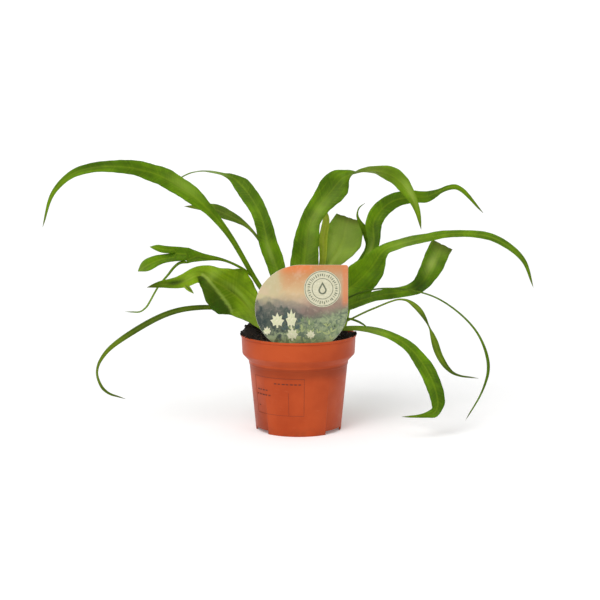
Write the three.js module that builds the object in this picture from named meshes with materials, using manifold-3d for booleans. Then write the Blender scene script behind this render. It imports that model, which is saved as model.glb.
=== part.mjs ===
// A bird's nest fern in a round nursery pot, with a plant label pushed into the soil.
// Millimetres, +Z up. The origin is the middle of the pot's underside, on the surface it stands on.
import * as THREE from 'three';
import { mergeVertices } from 'three/addons/utils/BufferGeometryUtils.js';
import Module from 'manifold-3d';

const wasm = await Module();
wasm.setup();

// ---------------------------------------------------------------- driving dimensions

const POT = {
  height: 100,
  rimRadius: 60, // outside of the lip
  lipHeight: 2.4,
  lipDepth: 0.8, // how far the lip stands out from the collar
  collarHeight: 20, // straight band, the lip included
  collarTaper: 0.8, // the collar is this much narrower at its foot
  shoulderHeight: 7, // slope from the collar in to the body
  shoulderDepth: 6.6, // the body is this much narrower than the collar's foot
  bodyTaper: 7.5, // the foot is this much narrower than the top of the body
  wall: 1.2,
  floorLift: 4, // the floor stands this far above the foot ring
  hubRadius: 16, // the middle of the floor comes down to the ground again
  sides: 48,
};

const NOTCH = {
  count: 3,
  width: 28,
  firstAngle: -153, // degrees from +X, anticlockwise from above
};

const DRAIN_HOLE = {
  radius: 4,
  inset: 14.3, // from the pot's foot to the middle of a hole
  perNotch: 2,
  spread: 34, // degrees between the holes at one notch
};

const SOIL = {
  drop: 4, // below the lip, where the soil meets the wall
  mound: 1, // the middle is this much higher
  slopeFrom: 0.6, // it starts to fall towards the wall at this share of its radius
  clearance: 0.3,
};

const CROWN = {
  radius: 14,
  rise: 15, // above the soil
  depth: 12, // below the soil
  footShare: 0.6, // it narrows to this share of its radius at the bottom
  sides: 24,
};

const LABEL = {
  halfWidth: 47, // of the oval
  halfHeight: 44.5,
  corner: 3, // radius of the one corner that fills out the oval's upper right
  thickness: 0.5,
  wallGap: 1.2, // from the stake's tip, or the card at the lip, to the pot's inner wall
  centreX: 3,
  buried: 11.3, // how far the bottom of the oval lies below the pot's lip
  stakeWidth: 16,
  stakeTipWidth: 4,
  stakeTaper: 16, // length of the stake's pointed end
  stakeLength: 44, // below the bottom of the oval
};

const STEM = {
  length: 70, // a frond is stiff and thick this far from the crown
  thickness: 2.4,
  width: 3.6,
  straight: 7, // it leaves the crown at a right angle for this far
};

const FROND_SCALE = 1; // every frond's route and width, against the listed ones
const BLADE_THICKNESS = 1.1;
const SLIM = 0.55; // a section is never thicker than this share of its width
const SHALLOW_FOLD = 0.14; // how far the midrib lies below the edges, as a share of half the width
const STATION_PITCH = 9; // distance between the sections of a frond
const BLUNT_END = 0.2; // a blunt frond's last section is this share of the pitch before its end
const FIT_GAP = 0.3; // left between pieces that touch

const soilTop = POT.height - SOIL.drop + SOIL.mound; // at the crown

// ---------------------------------------------------------------- helpers

const radians = THREE.MathUtils.degToRad;

function plainSolid(geometry) {
  const bare = geometry.clone();
  bare.deleteAttribute('normal');
  bare.deleteAttribute('uv');
  return mergeVertices(bare, 1e-4);
}

function toManifold(geometry) {
  const solid = plainSolid(geometry);
  return new wasm.Manifold(new wasm.Mesh({
    numProp: 3,
    vertProperties: Float32Array.from(solid.attributes.position.array),
    triVerts: Uint32Array.from(solid.index.array),
  }));
}

function fromManifold(manifold) {
  const mesh = manifold.getMesh();
  const geometry = new THREE.BufferGeometry();
  geometry.setAttribute('position', new THREE.BufferAttribute(mesh.vertProperties, 3));
  geometry.setIndex(new THREE.BufferAttribute(mesh.triVerts, 1));
  return geometry;
}

// A solid of revolution about Z from [radius, height] pairs, anticlockwise in the r-z plane.
function turned(profile, sides) {
  const points = profile.map(([r, z]) => new THREE.Vector2(r, z));
  const lathe = new THREE.LatheGeometry(points, sides);
  return lathe.rotateX(Math.PI / 2);
}

function material(color, roughness) {
  return new THREE.MeshStandardMaterial({ color, roughness, metalness: 0 });
}

const FINISH = {
  pot: material(0xc3552a, 0.45),
  soil: material(0x1c1713, 0.95),
  crown: material(0x4a3a22, 0.9),
  label: material(0xd9c9a8, 0.35),
  frond: material(0x5f8f1e, 0.5),
  youngFrond: material(0x9bab3c, 0.5),
};

const plant = new THREE.Group();

function addPart(name, geometry, finish) {
  const mesh = new THREE.Mesh(geometry, finish);
  mesh.name = name;
  plant.add(mesh);
}

// ---------------------------------------------------------------- pot

const collarFoot = POT.height - POT.collarHeight;
const bodyTop = collarFoot - POT.shoulderHeight;
const collarRadius = POT.rimRadius - POT.lipDepth;
const collarFootRadius = collarRadius - POT.collarTaper;
const bodyRadius = collarFootRadius - POT.shoulderDepth;
const footRadius = bodyRadius - POT.bodyTaper;
const floorTop = POT.floorLift + POT.wall;
const hubSlope = 3; // the hub's side leans out this much over its height
const wallAtLip = collarRadius - POT.wall; // the inside of the pot at its top

// The body's outer radius at a height between the foot and the shoulder.
function bodyRadiusAt(z) {
  return THREE.MathUtils.lerp(footRadius, bodyRadius, z / bodyTop);
}

// The pot's inner surface from the lip down to the axis, moved inward by a gap.
function innerProfile(gap) {
  const inset = POT.wall + gap;
  return [
    [collarRadius - inset, POT.height],
    [collarFootRadius - inset, collarFoot],
    [bodyRadius - inset, bodyTop],
    [bodyRadiusAt(floorTop) - inset, floorTop + gap],
    [POT.hubRadius + hubSlope, floorTop + gap],
    [POT.hubRadius, POT.wall + gap],
    [0, POT.wall + gap],
  ];
}

function potShell() {
  const footInner = footRadius - POT.wall;
  const outer = [
    [0, 0],
    [POT.hubRadius, 0],
    [POT.hubRadius + hubSlope, POT.floorLift],
    [footInner, POT.floorLift],
    [footInner, 0],
    [footRadius, 0],
    [bodyRadius, bodyTop],
    [collarFootRadius, collarFoot],
    [collarRadius, POT.height - POT.lipHeight],
    [POT.rimRadius, POT.height - POT.lipHeight],
    [POT.rimRadius, POT.height],
  ];
  return toManifold(turned([...outer, ...innerProfile(0)], POT.sides));
}

function notchCutter(angle) {
  const box = new THREE.BoxGeometry(POT.wall * 4, NOTCH.width, POT.floorLift * 2);
  box.translate(footRadius - POT.wall, 0, 0);
  return toManifold(box.rotateZ(radians(angle)));
}

function drainCutter(angle) {
  const hole = new THREE.CylinderGeometry(DRAIN_HOLE.radius, DRAIN_HOLE.radius, floorTop * 2, 16);
  hole.rotateX(Math.PI / 2);
  hole.translate(footRadius - DRAIN_HOLE.inset, 0, floorTop);
  return toManifold(hole.rotateZ(radians(angle)));
}

function pot() {
  let shell = potShell();
  for (let i = 0; i < NOTCH.count; i++) {
    const angle = NOTCH.firstAngle + (i * 360) / NOTCH.count;
    shell = shell.subtract(notchCutter(angle));
    for (let k = 0; k < DRAIN_HOLE.perNotch; k++) {
      const offset = (k - (DRAIN_HOLE.perNotch - 1) / 2) * DRAIN_HOLE.spread;
      shell = shell.subtract(drainCutter(angle + offset));
    }
  }
  return fromManifold(shell);
}

addPart('pot', pot(), FINISH.pot);

// ---------------------------------------------------------------- plant label

const ovalBottom = POT.height - LABEL.buried;
const labelCentreZ = ovalBottom + LABEL.halfHeight;
const stakeTip = ovalBottom - LABEL.stakeLength;
const wallAtStakeTip = bodyRadiusAt(stakeTip) - POT.wall;
const lipDrop = (LABEL.halfHeight - LABEL.buried) / LABEL.halfHeight; // share of the height, centre to lip
const cardAtLip = LABEL.halfWidth * Math.sqrt(1 - lipDrop ** 2) + LABEL.centreX;
const stakeReach = Math.sqrt(wallAtStakeTip ** 2 - (LABEL.stakeWidth / 2) ** 2);
const cardReach = Math.sqrt(wallAtLip ** 2 - cardAtLip ** 2);
const labelY = LABEL.wallGap - Math.min(stakeReach, cardReach);

// The card's face: an oval filled out to a rounded corner at its upper right, with a stake below.
function labelOutline(extra) {
  const shape = new THREE.Shape();
  const rx = LABEL.halfWidth + extra;
  const rz = LABEL.halfHeight + extra;
  const corner = LABEL.corner + extra;
  const top = labelCentreZ + rz;
  const right = LABEL.centreX + rx;
  const halfStake = LABEL.stakeWidth / 2 + extra;
  const halfTip = LABEL.stakeTipWidth / 2 + extra;
  const stakeAngle = Math.asin(halfStake / rx);
  const down = -Math.PI / 2;
  const left = down - stakeAngle + 2 * Math.PI;
  const tipZ = stakeTip - extra;
  shape.moveTo(LABEL.centreX + halfTip, tipZ);
  shape.lineTo(LABEL.centreX + halfStake, tipZ + LABEL.stakeTaper);
  shape.absellipse(LABEL.centreX, labelCentreZ, rx, rz, down + stakeAngle, 0, false);
  shape.lineTo(right, top - corner);
  shape.absarc(right - corner, top - corner, corner, 0, Math.PI / 2, false);
  shape.lineTo(LABEL.centreX, top);
  shape.absellipse(LABEL.centreX, labelCentreZ, rx, rz, Math.PI / 2, left, false);
  shape.lineTo(LABEL.centreX - halfStake, tipZ + LABEL.stakeTaper);
  shape.lineTo(LABEL.centreX - halfTip, tipZ);
  shape.closePath();
  return shape;
}

// The outline swollen by `extra` on every side stands in the soil as the slot for the label.
function labelSolid(extra) {
  const depth = LABEL.thickness + 2 * extra;
  const options = { depth, bevelEnabled: false, curveSegments: 14 };
  const card = new THREE.ExtrudeGeometry(labelOutline(extra), options);
  card.rotateX(Math.PI / 2);
  return card.translate(0, labelY + depth / 2, 0);
}

addPart('plant_label', labelSolid(0), FINISH.label);

// ---------------------------------------------------------------- crown and soil

const soilMiddle = new THREE.Vector3(0, 0, soilTop);
const crownCentre = new THREE.Vector3(0, 0, soilTop + CROWN.rise - CROWN.radius);

function crownSolid(extra) {
  const radius = CROWN.radius + extra;
  const foot = soilTop - CROWN.depth - extra;
  const profile = [[0, foot], [radius * CROWN.footShare, foot], [radius, crownCentre.z]];
  const steps = 6;
  for (let i = 1; i < steps; i++) {
    const angle = (i / steps) * (Math.PI / 2);
    profile.push([radius * Math.cos(angle), crownCentre.z + radius * Math.sin(angle)]);
  }
  profile.push([0, crownCentre.z + radius]);
  return turned(profile, CROWN.sides);
}

addPart('crown', crownSolid(0), FINISH.crown);

function soil() {
  const inner = innerProfile(SOIL.clearance);
  const edgeHeight = POT.height - SOIL.drop;
  const narrowing = (POT.collarTaper * SOIL.drop) / (POT.collarHeight - POT.lipHeight);
  const edgeRadius = wallAtLip - SOIL.clearance - narrowing;
  const below = inner.slice(1).reverse();
  const top = [
    [edgeRadius, edgeHeight],
    [edgeRadius * SOIL.slopeFrom, soilTop],
    [0, soilTop],
  ];
  const body = toManifold(turned([...below, ...top], POT.sides));
  const slot = toManifold(labelSolid(SOIL.clearance));
  const socket = toManifold(crownSolid(SOIL.clearance));
  return fromManifold(body.subtract(slot).subtract(socket));
}

addPart('soil', soil(), FINISH.soil);

// ---------------------------------------------------------------- fronds

// Each frond leaves the crown at `from` [degrees round from +X, degrees up], then follows `route`.
// A route point is [x, y, z, width, turn]: millimetres from the soil's surface at the crown, the
// blade's width there, and where its upper side faces: 0 is up, 90 is the frond's `facing` direction.
const FRONT = -90; // degrees round from +X

const FRONDS = [
  {
    name: 'frond_long_left',
    from: [196, 52],
    route: [
      [-24, -4, 30, 4.5, 60],
      [-43, -6, 58, 5, 70],
      [-70, -9, 105, 6, 80],
      [-90, -12, 131, 10, 80],
      [-110, -17, 150, 18, 72],
      [-145, -24, 171, 19, 65],
      [-184, -32, 179, 13.5, 62],
      [-224, -38, 173, 8.5, 70],
      [-246, -41, 153, 4.5, 80],
      [-257, -45, 118, 1, 85],
    ],
  },
  {
    name: 'frond_second_left',
    from: [150, 56],
    route: [
      [-14, 7, 35, 9, 85],
      [-22, 10, 68, 18, 86],
      [-32, 14, 98, 19, 86],
      [-39, 21, 123, 17, 84],
      [-50, 31, 142, 18, 82],
      [-60, 40, 154, 17, 76],
      [-69, 48, 161, 11, 36],
      [-82, 58, 164, 8, 12],
      [-99, 72, 166, 7, 8],
      [-115, 86, 163, 5, 5],
      [-133, 104, 153, 1, 5],
    ],
  },
  {
    name: 'frond_small_left',
    from: [138, 36],
    route: [
      [-18, 20, 40, 3.6, 60],
      [-34, 34, 84, 3, 60],
      [-53, 44, 109, 4, 60],
      [-75, 53, 121, 12, 62],
      [-91, 58, 127, 11, 60],
      [-122, 64, 129, 1, 50],
    ],
  },
  {
    name: 'frond_folded_left',
    from: [208, 24],
    fold: 0.35,
    route: [
      [-30, -8, 8, 6, 60],
      [-41, -11, 17, 12, 68],
      [-49, -14, 28, 24, 78],
      [-60, -19, 41, 44, 85],
      [-72, -24, 51, 52, 88],
      [-80, -28, 57, 46, 86],
      [-88, -31, 63, 30, 84],
      [-96, -33, 68, 22, 78],
      [-104, -36, 69, 17, 72],
      [-113, -39, 65, 15, 68],
      [-122, -41, 62, 12, 66],
      [-138, -44, 61, 8, 62],
      [-153, -48, 58, 1, 60],
    ],
  },
  {
    name: 'frond_low_left',
    from: [180, 12],
    route: [
      [-38, 4, 14, 3.6, 40],
      [-76, 0, 28, 4.5, 50],
      [-97, -4, 31, 5.5, 60],
      [-131, -12, 27, 6, 65],
      [-172, -22, 7, 6, 75],
      [-198, -30, -13, 4, 80],
      [-206, -34, -31, 2.4, 70],
      [-198, -37, -50, 3, 50],
      [-176, -41, -58, 1, 40],
    ],
  },
  {
    name: 'frond_forked_left',
    from: [172, 32],
    route: [
      [-38, 4, 50, 3, 60],
      [-53, 2, 67, 3, 65],
      [-77, -3, 80, 3, 70],
      [-98, -10, 84, 8, 75],
      [-113, -13, 86, 16, 75],
    ],
    fork: {
      split: 0.2,
      left: {
        route: [
          [-123, -14, 78, 3, 70],
          [-134, -16, 66, 2.4, 65],
          [-144, -18, 54, 2, 65],
          [-152, -20, 40, 2, 60],
          [-160, -22, 30, 1.8, 55],
          [-178, -26, 30, 1, 55],
        ],
      },
      right: {
        route: [
          [-125, -15, 88, 15, 75],
        ],
        fork: {
          split: 0.55,
          left: {
            route: [
              [-140, -18, 83, 10, 72],
              [-151, -21, 79, 12, 70],
              [-160, -23, 74, 10, 70],
              [-164, -24, 71, 4, 70],
            ],
          },
          right: {
            route: [
              [-136, -19, 93, 8, 72],
              [-145, -20, 95, 6, 70],
              [-152, -21, 96, 1, 70],
            ],
          },
        },
      },
    },
  },
  {
    name: 'frond_centre',
    from: [60, 76],
    route: [
      [3, 10, 38, 20, 85],
      [6, 15, 75, 29, 86],
      [9, 17, 102, 25, 87],
      [12, 19, 117, 22, 88],
      [21, 22, 133, 22, 88],
      [35, 25, 150, 30, 84],
      [45, 26, 162, 24, 70],
      [58, 25, 168, 13, 0],
      [82, 18, 171, 15, -50],
      [102, 10, 163, 18, -66],
      [114, 4, 148, 11, -76],
      [122, 0, 131, 6, -82],
      [126, -4, 111, 1, -85],
    ],
  },
  {
    name: 'frond_blunt_back',
    from: [60, 44],
    blunt: true,
    route: [
      [16, 30, 34, 12, 80],
      [31, 40, 68, 18, 85],
      [42, 45, 84, 29, 85],
      [48, 47, 97, 40, 83],
      [50, 49, 108, 36, 80],
      [54, 51, 120, 27, 80],
    ],
  },
  {
    name: 'frond_young',
    from: [84, 62],
    young: true,
    route: [
      [14, 24, 40, 4, 80],
      [25, 33, 72, 7, 82],
      [26, 36, 99, 9, 85],
      [29, 38, 118, 7, 88],
      [28, 39, 129, 1, 88],
    ],
  },
  {
    name: 'frond_curled',
    from: [40, 40],
    route: [
      [30, 20, 35, 5, 70],
      [61, 30, 66, 9, 75],
      [75, 34, 90, 10, 75],
      [70, 34, 106, 8, 70],
      [62, 32, 120, 3, 40],
      [62, 30, 129, 2, 30],
      [70, 30, 136, 1, 30],
    ],
  },
  {
    name: 'frond_right_upper',
    from: [18, 50],
    route: [
      [32, 8, 36, 7, 70],
      [61, 14, 62, 10, 80],
      [78, 22, 92, 12, 85],
      [79, 29, 117, 18, 80],
      [96, 36, 136, 17, 72],
      [118, 42, 141, 14, 66],
      [136, 47, 141, 13, 60],
      [148, 51, 146, 6, 60],
      [167, 56, 150, 6, 60],
      [197, 65, 121, 1, 80],
    ],
  },
  {
    name: 'frond_long_right',
    from: [-6, 44],
    route: [
      [32, -1, 34, 14, 70],
      [57, -3, 54, 34, 82],
      [73, -4, 70, 30, 80],
      [88, -6, 91, 13, 62],
      [102, -9, 97, 11, 60],
      [131, -15, 105, 10, 55],
      [165, -23, 110, 8, 55],
      [198, -31, 106, 8, 65],
      [226, -40, 86, 5, 75],
      [237, -46, 57, 1, 80],
    ],
  },
  {
    name: 'frond_kinked_right',
    from: [-14, 26],
    blunt: true,
    route: [
      [34, -16, 26, 8, 60],
      [54, -15, 36, 11, 65],
      [80, -11, 44, 11, 65],
      [110, -5, 48, 12, 70],
      [125, -2, 54, 16, 75],
      [136, 1, 70, 22, 80],
      [149, 6, 97, 24, 80],
    ],
  },
  {
    name: 'frond_thin_right',
    from: [-36, 32],
    route: [
      [38, -21, 36, 2.2, 55],
      [70, -29, 52, 2, 50],
      [105, -38, 55, 1.9, 45],
      [142, -48, 46, 1.9, 50],
      [178, -61, 16, 2.2, 60],
      [190, -71, -17, 3.2, 75],
      [184, -78, -41, 2, 80],
      [166, -86, -71, 1, 80],
    ],
  },
  {
    name: 'frond_twisted_right',
    from: [-48, 14],
    route: [
      [44, -26, 18, 2.4, 50],
      [76, -32, 34, 2.2, 50],
      [106, -42, 45, 2.6, 40],
      [121, -48, 36, 5.4, 80],
      [132, -53, 18, 3, 0],
      [137, -56, 4, 6.8, 80],
      [143, -59, -12, 6.6, 70],
      [156, -63, -27, 4, 30],
      [181, -69, -31, 1, 20],
    ],
  },
  {
    name: 'frond_low_right',
    from: [-20, 8],
    route: [
      [46, -17, 11, 6, 40],
      [70, -21, 11, 7.5, 45],
      [92, -26, 6, 9, 55],
      [112, -31, -5, 11, 65],
      [130, -38, -27, 16, 80],
      [141, -45, -54, 15, 85],
      [140, -49, -69, 11, 70],
      [125, -52, -73, 5, 40],
      [104, -57, -73, 1, 40],
    ],
  },
  {
    name: 'frond_small_right',
    from: [4, 16],
    route: [
      [32, -8, 15, 2.6, 50],
      [50, -9, 20, 2.6, 50],
      [63, -8, 16, 2.4, 60],
      [73, -7, 9, 1, 60],
    ],
  },
  {
    name: 'frond_back_long',
    from: [96, 36],
    facing: -90,
    route: [
      [-6, 36, 32, 6, 55],
      [-12, 70, 52, 18, 30],
      [-16, 110, 54, 26, 8],
      [-14, 150, 36, 22, -14],
      [-10, 185, -4, 1, -40],
    ],
  },
  {
    name: 'frond_back_left',
    from: [116, 20],
    facing: -60,
    route: [
      [-20, 36, 18, 6, 50],
      [-30, 66, 22, 16, 20],
      [-34, 98, 8, 22, -10],
      [-36, 126, -22, 14, -35],
      [-36, 138, -48, 1, -50],
    ],
  },
  {
    name: 'frond_back_right',
    from: [66, 22],
    facing: -110,
    route: [
      [18, 38, 22, 6, 50],
      [34, 72, 34, 18, 24],
      [44, 108, 26, 24, -4],
      [48, 140, -2, 16, -34],
      [48, 154, -34, 1, -50],
    ],
  },
];

// The first two points of a frond: on the crown, and straight out from it.
function attachment([round, up]) {
  const level = Math.cos(radians(up));
  const outward = new THREE.Vector3(
    level * Math.cos(radians(round)), level * Math.sin(radians(round)), Math.sin(radians(up)));
  const reach = CROWN.radius + FIT_GAP;
  return [reach, reach + STEM.straight].map((r) => outward.clone().multiplyScalar(r).add(crownCentre));
}

function routeRows(route) {
  return route.map(([x, y, z, width, turn]) => ({
    centre: new THREE.Vector3(x, y, z).multiplyScalar(FROND_SCALE).add(soilMiddle),
    width: width * FROND_SCALE,
    turn,
  }));
}

// A place along a route: its centre line, the way across the blade and the way its upper side faces.
function sectionAt(path, profile, share, { facing, fold, thickness }) {
  const t = path.getUtoTmapping(share);
  const centre = path.getPoint(t);
  const along = path.getTangent(t);
  const { x: width, y: turn } = profile.getPoint(t);
  const faceUp = new THREE.Vector3(
    Math.cos(radians(facing)), Math.sin(radians(facing)), 0).multiplyScalar(Math.sin(radians(turn)));
  faceUp.z = Math.cos(radians(turn));
  const across = new THREE.Vector3().crossVectors(along, faceUp).normalize();
  const normal = new THREE.Vector3().crossVectors(across, along).normalize();
  return { centre, across, normal, width, turn, fold, thickness: Math.min(thickness, width * SLIM) };
}

// The sections of one stretch of frond. `rows` are its route, of which the first `lead` are already
// made; `next` says what lies beyond its end: a fork, a blunt edge or a point.
function stretchSections(rows, lead, options, ending) {
  const path = new THREE.CatmullRomCurve3(rows.map((row) => row.centre), false, 'centripetal');
  const profile = new THREE.CatmullRomCurve3(
    rows.map((row) => new THREE.Vector3(row.width, row.turn, 0)), false, 'catmullrom', 0.5);
  const length = path.getLength();
  const made = lead === 0 ? 0 : rows[0].centre.distanceTo(rows[lead].centre) / length;
  const count = Math.max(2, Math.ceil(((1 - made) * length) / STATION_PITCH));
  const first = lead === 0 ? 0 : 1;
  const last = { fork: count, blunt: count - BLUNT_END, point: count - 1 }[ending];
  const sections = [];
  for (let i = first; i <= last; i++) {
    const share = made + ((1 - made) * i) / count;
    const stem = lead === 0 ? 1 - THREE.MathUtils.smoothstep(share * length, 0, STEM.length) : 0;
    const thickness = THREE.MathUtils.lerp(BLADE_THICKNESS, STEM.thickness, stem);
    sections.push(sectionAt(path, profile, share, { ...options, thickness }));
  }
  if (ending === 'blunt') {
    const share = made + ((1 - made) * last) / count;
    sections.push(sectionAt(path, profile, share, { ...options, thickness: BLADE_THICKNESS }));
  }
  return { sections, tip: path.getPoint(1) };
}

// Four corners round a section: left edge, middle of the upper side, right edge, middle below.
// `middle` is where the two middles lie, from 0 at the left edge to 1 at the right.
function sectionRing({ centre, across, normal, width, thickness, fold }, middle = 0.5) {
  const left = centre.clone().addScaledVector(across, -width / 2);
  const right = centre.clone().addScaledVector(across, width / 2);
  const keel = left.clone().lerp(right, middle).addScaledVector(normal, -fold * width * 0.5);
  return [
    left,
    keel.clone().addScaledVector(normal, thickness / 2),
    right,
    keel.clone().addScaledVector(normal, -thickness / 2),
  ];
}

// Frond skins are grown ring by ring into one list of points and one of triangles.
class Skin {
  points = [];
  triangles = [];

  add(corners) {
    return corners.map((corner) => this.points.push(corner) - 1);
  }

  // Joins two rings of the same length. A point that a ring repeats leaves no sliver.
  bridge(lower, upper) {
    for (let i = 0; i < lower.length; i++) {
      const k = (i + 1) % lower.length;
      this.face(lower[i], lower[k], upper[k]);
      this.face(lower[i], upper[k], upper[i]);
    }
  }

  face(a, b, c) {
    if (a !== b && b !== c && c !== a) this.triangles.push(a, b, c);
  }

  close(ring, point) {
    const [apex] = this.add([point]);
    this.bridge(ring, ring.map(() => apex));
  }

  geometry() {
    const geometry = new THREE.BufferGeometry().setFromPoints(this.points);
    return geometry.setIndex(this.triangles);
  }
}

// Grows one stretch onto `ring`, and then the two beyond its fork, each from its share of the width.
function growStretch(skin, ring, rows, lead, spec, options) {
  const ending = spec.fork ? 'fork' : spec.blunt ? 'blunt' : 'point';
  const { sections, tip } = stretchSections(rows, lead, options, ending);
  let last = ring;
  sections.forEach((section, i) => {
    const atFork = ending === 'fork' && i === sections.length - 1;
    const next = skin.add(sectionRing(section, atFork ? spec.fork.split : 0.5));
    if (last) skin.bridge(last, next);
    else skin.close([...next].reverse(), section.centre);
    last = next;
  });
  if (!spec.fork) {
    skin.close(last, tip);
    return;
  }
  const [left, top, right, below] = last;
  const { split } = spec.fork;
  const leftRing = [left, top, top, below];
  const rightRing = [top, top, right, below];
  growFork(skin, leftRing, sections, split / 2, split, spec.fork.left, options);
  growFork(skin, rightRing, sections, (1 + split) / 2, 1 - split, spec.fork.right, options);
}

// A branch starts where its share of the last two sections before the fork lies.
function growFork(skin, ring, sections, middle, share, spec, options) {
  const start = sections.slice(-2).map(({ centre, across, width, turn }) => ({
    centre: centre.clone().addScaledVector(across, (middle - 0.5) * width),
    width: width * share,
    turn,
  }));
  growStretch(skin, ring, [...start, ...routeRows(spec.route)], 1, spec, options);
}

function frondGeometry(spec) {
  const { from, route, fold = SHALLOW_FOLD, facing = FRONT } = spec;
  const stem = attachment(from).map((centre) => ({ centre, width: STEM.width, turn: route[0][4] }));
  const skin = new Skin();
  growStretch(skin, null, [...stem, ...routeRows(route)], 0, spec, { facing, fold });
  return skin.geometry();
}

for (const frond of FRONDS) {
  addPart(frond.name, frondGeometry(frond), frond.young ? FINISH.youngFrond : FINISH.frond);
}

export default plant;
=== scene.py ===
import random
from math import asin, atan2, ceil, cos, degrees, exp, hypot, pi, radians, sin, sqrt

import bpy
import numpy as np
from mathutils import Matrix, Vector, noise
from numpy.linalg import norm


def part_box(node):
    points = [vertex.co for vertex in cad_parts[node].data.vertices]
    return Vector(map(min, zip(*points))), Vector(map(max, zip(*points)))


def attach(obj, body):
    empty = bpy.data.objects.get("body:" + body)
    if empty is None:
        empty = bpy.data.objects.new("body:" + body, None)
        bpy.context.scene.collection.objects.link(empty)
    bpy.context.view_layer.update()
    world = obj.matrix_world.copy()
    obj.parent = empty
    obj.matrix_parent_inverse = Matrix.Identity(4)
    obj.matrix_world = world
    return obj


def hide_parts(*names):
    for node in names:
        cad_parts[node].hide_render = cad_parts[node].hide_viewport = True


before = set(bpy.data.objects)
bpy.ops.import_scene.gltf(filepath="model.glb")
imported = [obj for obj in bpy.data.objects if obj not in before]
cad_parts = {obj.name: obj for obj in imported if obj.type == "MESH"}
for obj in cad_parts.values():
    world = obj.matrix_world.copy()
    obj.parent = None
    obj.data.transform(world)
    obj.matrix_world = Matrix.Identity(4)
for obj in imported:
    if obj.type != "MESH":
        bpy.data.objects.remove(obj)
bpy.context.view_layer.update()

MM = 0.001
TURN = 2 * pi
random.seed(7)

# ------------------------ helpers: shapes


def unit(v):
    return v / np.maximum(norm(v, axis=-1, keepdims=True), 1e-12)


def smoothstep(x, low, high):
    t = np.clip((x - low) / (high - low), 0, 1)
    return t * t * (3 - 2 * t)


def polar(radius, angle):
    return radius * cos(angle), radius * sin(angle)


def corners_of(node):
    """A CAD node's vertices as an array."""
    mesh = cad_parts[node].data
    flat = np.zeros(len(mesh.vertices) * 3)
    mesh.vertices.foreach_get("co", flat)
    return flat.reshape(-1, 3)


def add_object(name, data):
    obj = bpy.data.objects.new(name, data)
    bpy.context.scene.collection.objects.link(obj)
    return obj


def new_mesh(name, points, faces, smooth=False):
    mesh = bpy.data.meshes.new(name)
    mesh.from_pydata([tuple(p) for p in points], [], faces)
    mesh.polygons.foreach_set("use_smooth", [smooth] * len(mesh.polygons))
    return mesh


def add_piece(name, points, faces, materials, replaces=(), face_material=None, values=None,
              smooth=True):
    """One mesh object on the root body. `values` are named vectors, one for each point."""
    mesh = new_mesh(name, points, faces, smooth)
    for material in materials:
        mesh.materials.append(material)
    if face_material is not None:
        mesh.polygons.foreach_set("material_index", face_material)
    for key, rows in (values or {}).items():
        layer = mesh.attributes.new(key, "FLOAT_VECTOR", "POINT")
        layer.data.foreach_set("vector", np.ravel(rows).astype(np.float32))
    mesh.update()
    obj = add_object(name, mesh)
    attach(obj, "root")
    if replaces:
        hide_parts(*replaces)
    return obj


class Heap:
    """Points and faces of many small shapes, gathered into one mesh."""

    def __init__(self):
        self.points = []
        self.faces = []

    def add(self, points, faces):
        start = len(self.points)
        self.points.extend(points)
        self.faces.extend(tuple(start + i for i in face) for face in faces)

    def add_as_piece(self, name, material, smooth=False):
        add_piece(name, self.points, self.faces, [material], smooth=smooth)


def skin(steps, sides):
    """Faces of a closed tube over steps + 1 rings of points: its two ends, then its sides."""
    last = steps * sides
    faces = [tuple(range(sides)), tuple(range(last + sides - 1, last - 1, -1))]
    for low in range(0, last, sides):
        high = low + sides
        for k in range(sides):
            n = (k + 1) % sides
            faces.append((low + n, low + k, high + k, high + n))
    return faces


def rounded_profile(corners, steps=5):
    """[radius, height] corners, each with a fillet size, as a smooth outline."""
    outline = []
    count = len(corners)
    for i, (r, z, fillet) in enumerate(corners):
        here = np.array([r, z])
        if fillet == 0 or i in (0, count - 1):
            outline.append(here)
            continue
        before = np.array(corners[i - 1][:2]) - here
        after = np.array(corners[i + 1][:2]) - here
        cut = min(fillet, 0.45 * norm(before), 0.45 * norm(after))
        start = here + unit(before) * cut
        end = here + unit(after) * cut
        for k in range(steps + 1):
            t = k / steps
            outline.append((1 - t) ** 2 * start + 2 * t * (1 - t) * here + t * t * end)
    return outline


def lathe(profile, sides):
    """Points and faces of a closed body from a profile that starts and ends on the axis."""
    inner = profile[1:-1]
    points = [(0, 0, profile[0][1])]
    for r, z in inner:
        points += [(*polar(r, TURN * k / sides), z) for k in range(sides)]
    points.append((0, 0, profile[-1][1]))
    faces = []
    for k in range(sides):
        n = (k + 1) % sides
        faces.append((0, 1 + n, 1 + k))
        for j in range(len(inner) - 1):
            low, high = 1 + j * sides, 1 + (j + 1) * sides
            faces.append((low + k, low + n, high + n, high + k))
        last = 1 + (len(inner) - 1) * sides
        faces.append((last + k, last + n, len(points) - 1))
    return points, faces


def slab(outline, y_front, y_back):
    """A flat plate standing in the XZ plane: points and faces from its outline of (x, z)."""
    return [(x, y, z) for y in (y_front, y_back) for x, z in outline], skin(1, len(outline))


# ------------------------ helpers: materials


def set_sockets(tree, node, sockets):
    """Gives each socket a value, or another node's output to read."""
    for key, value in sockets.items():
        if isinstance(value, bpy.types.NodeSocket):
            tree.links.new(value, node.inputs[key])
        else:
            node.inputs[key].default_value = value


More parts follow.
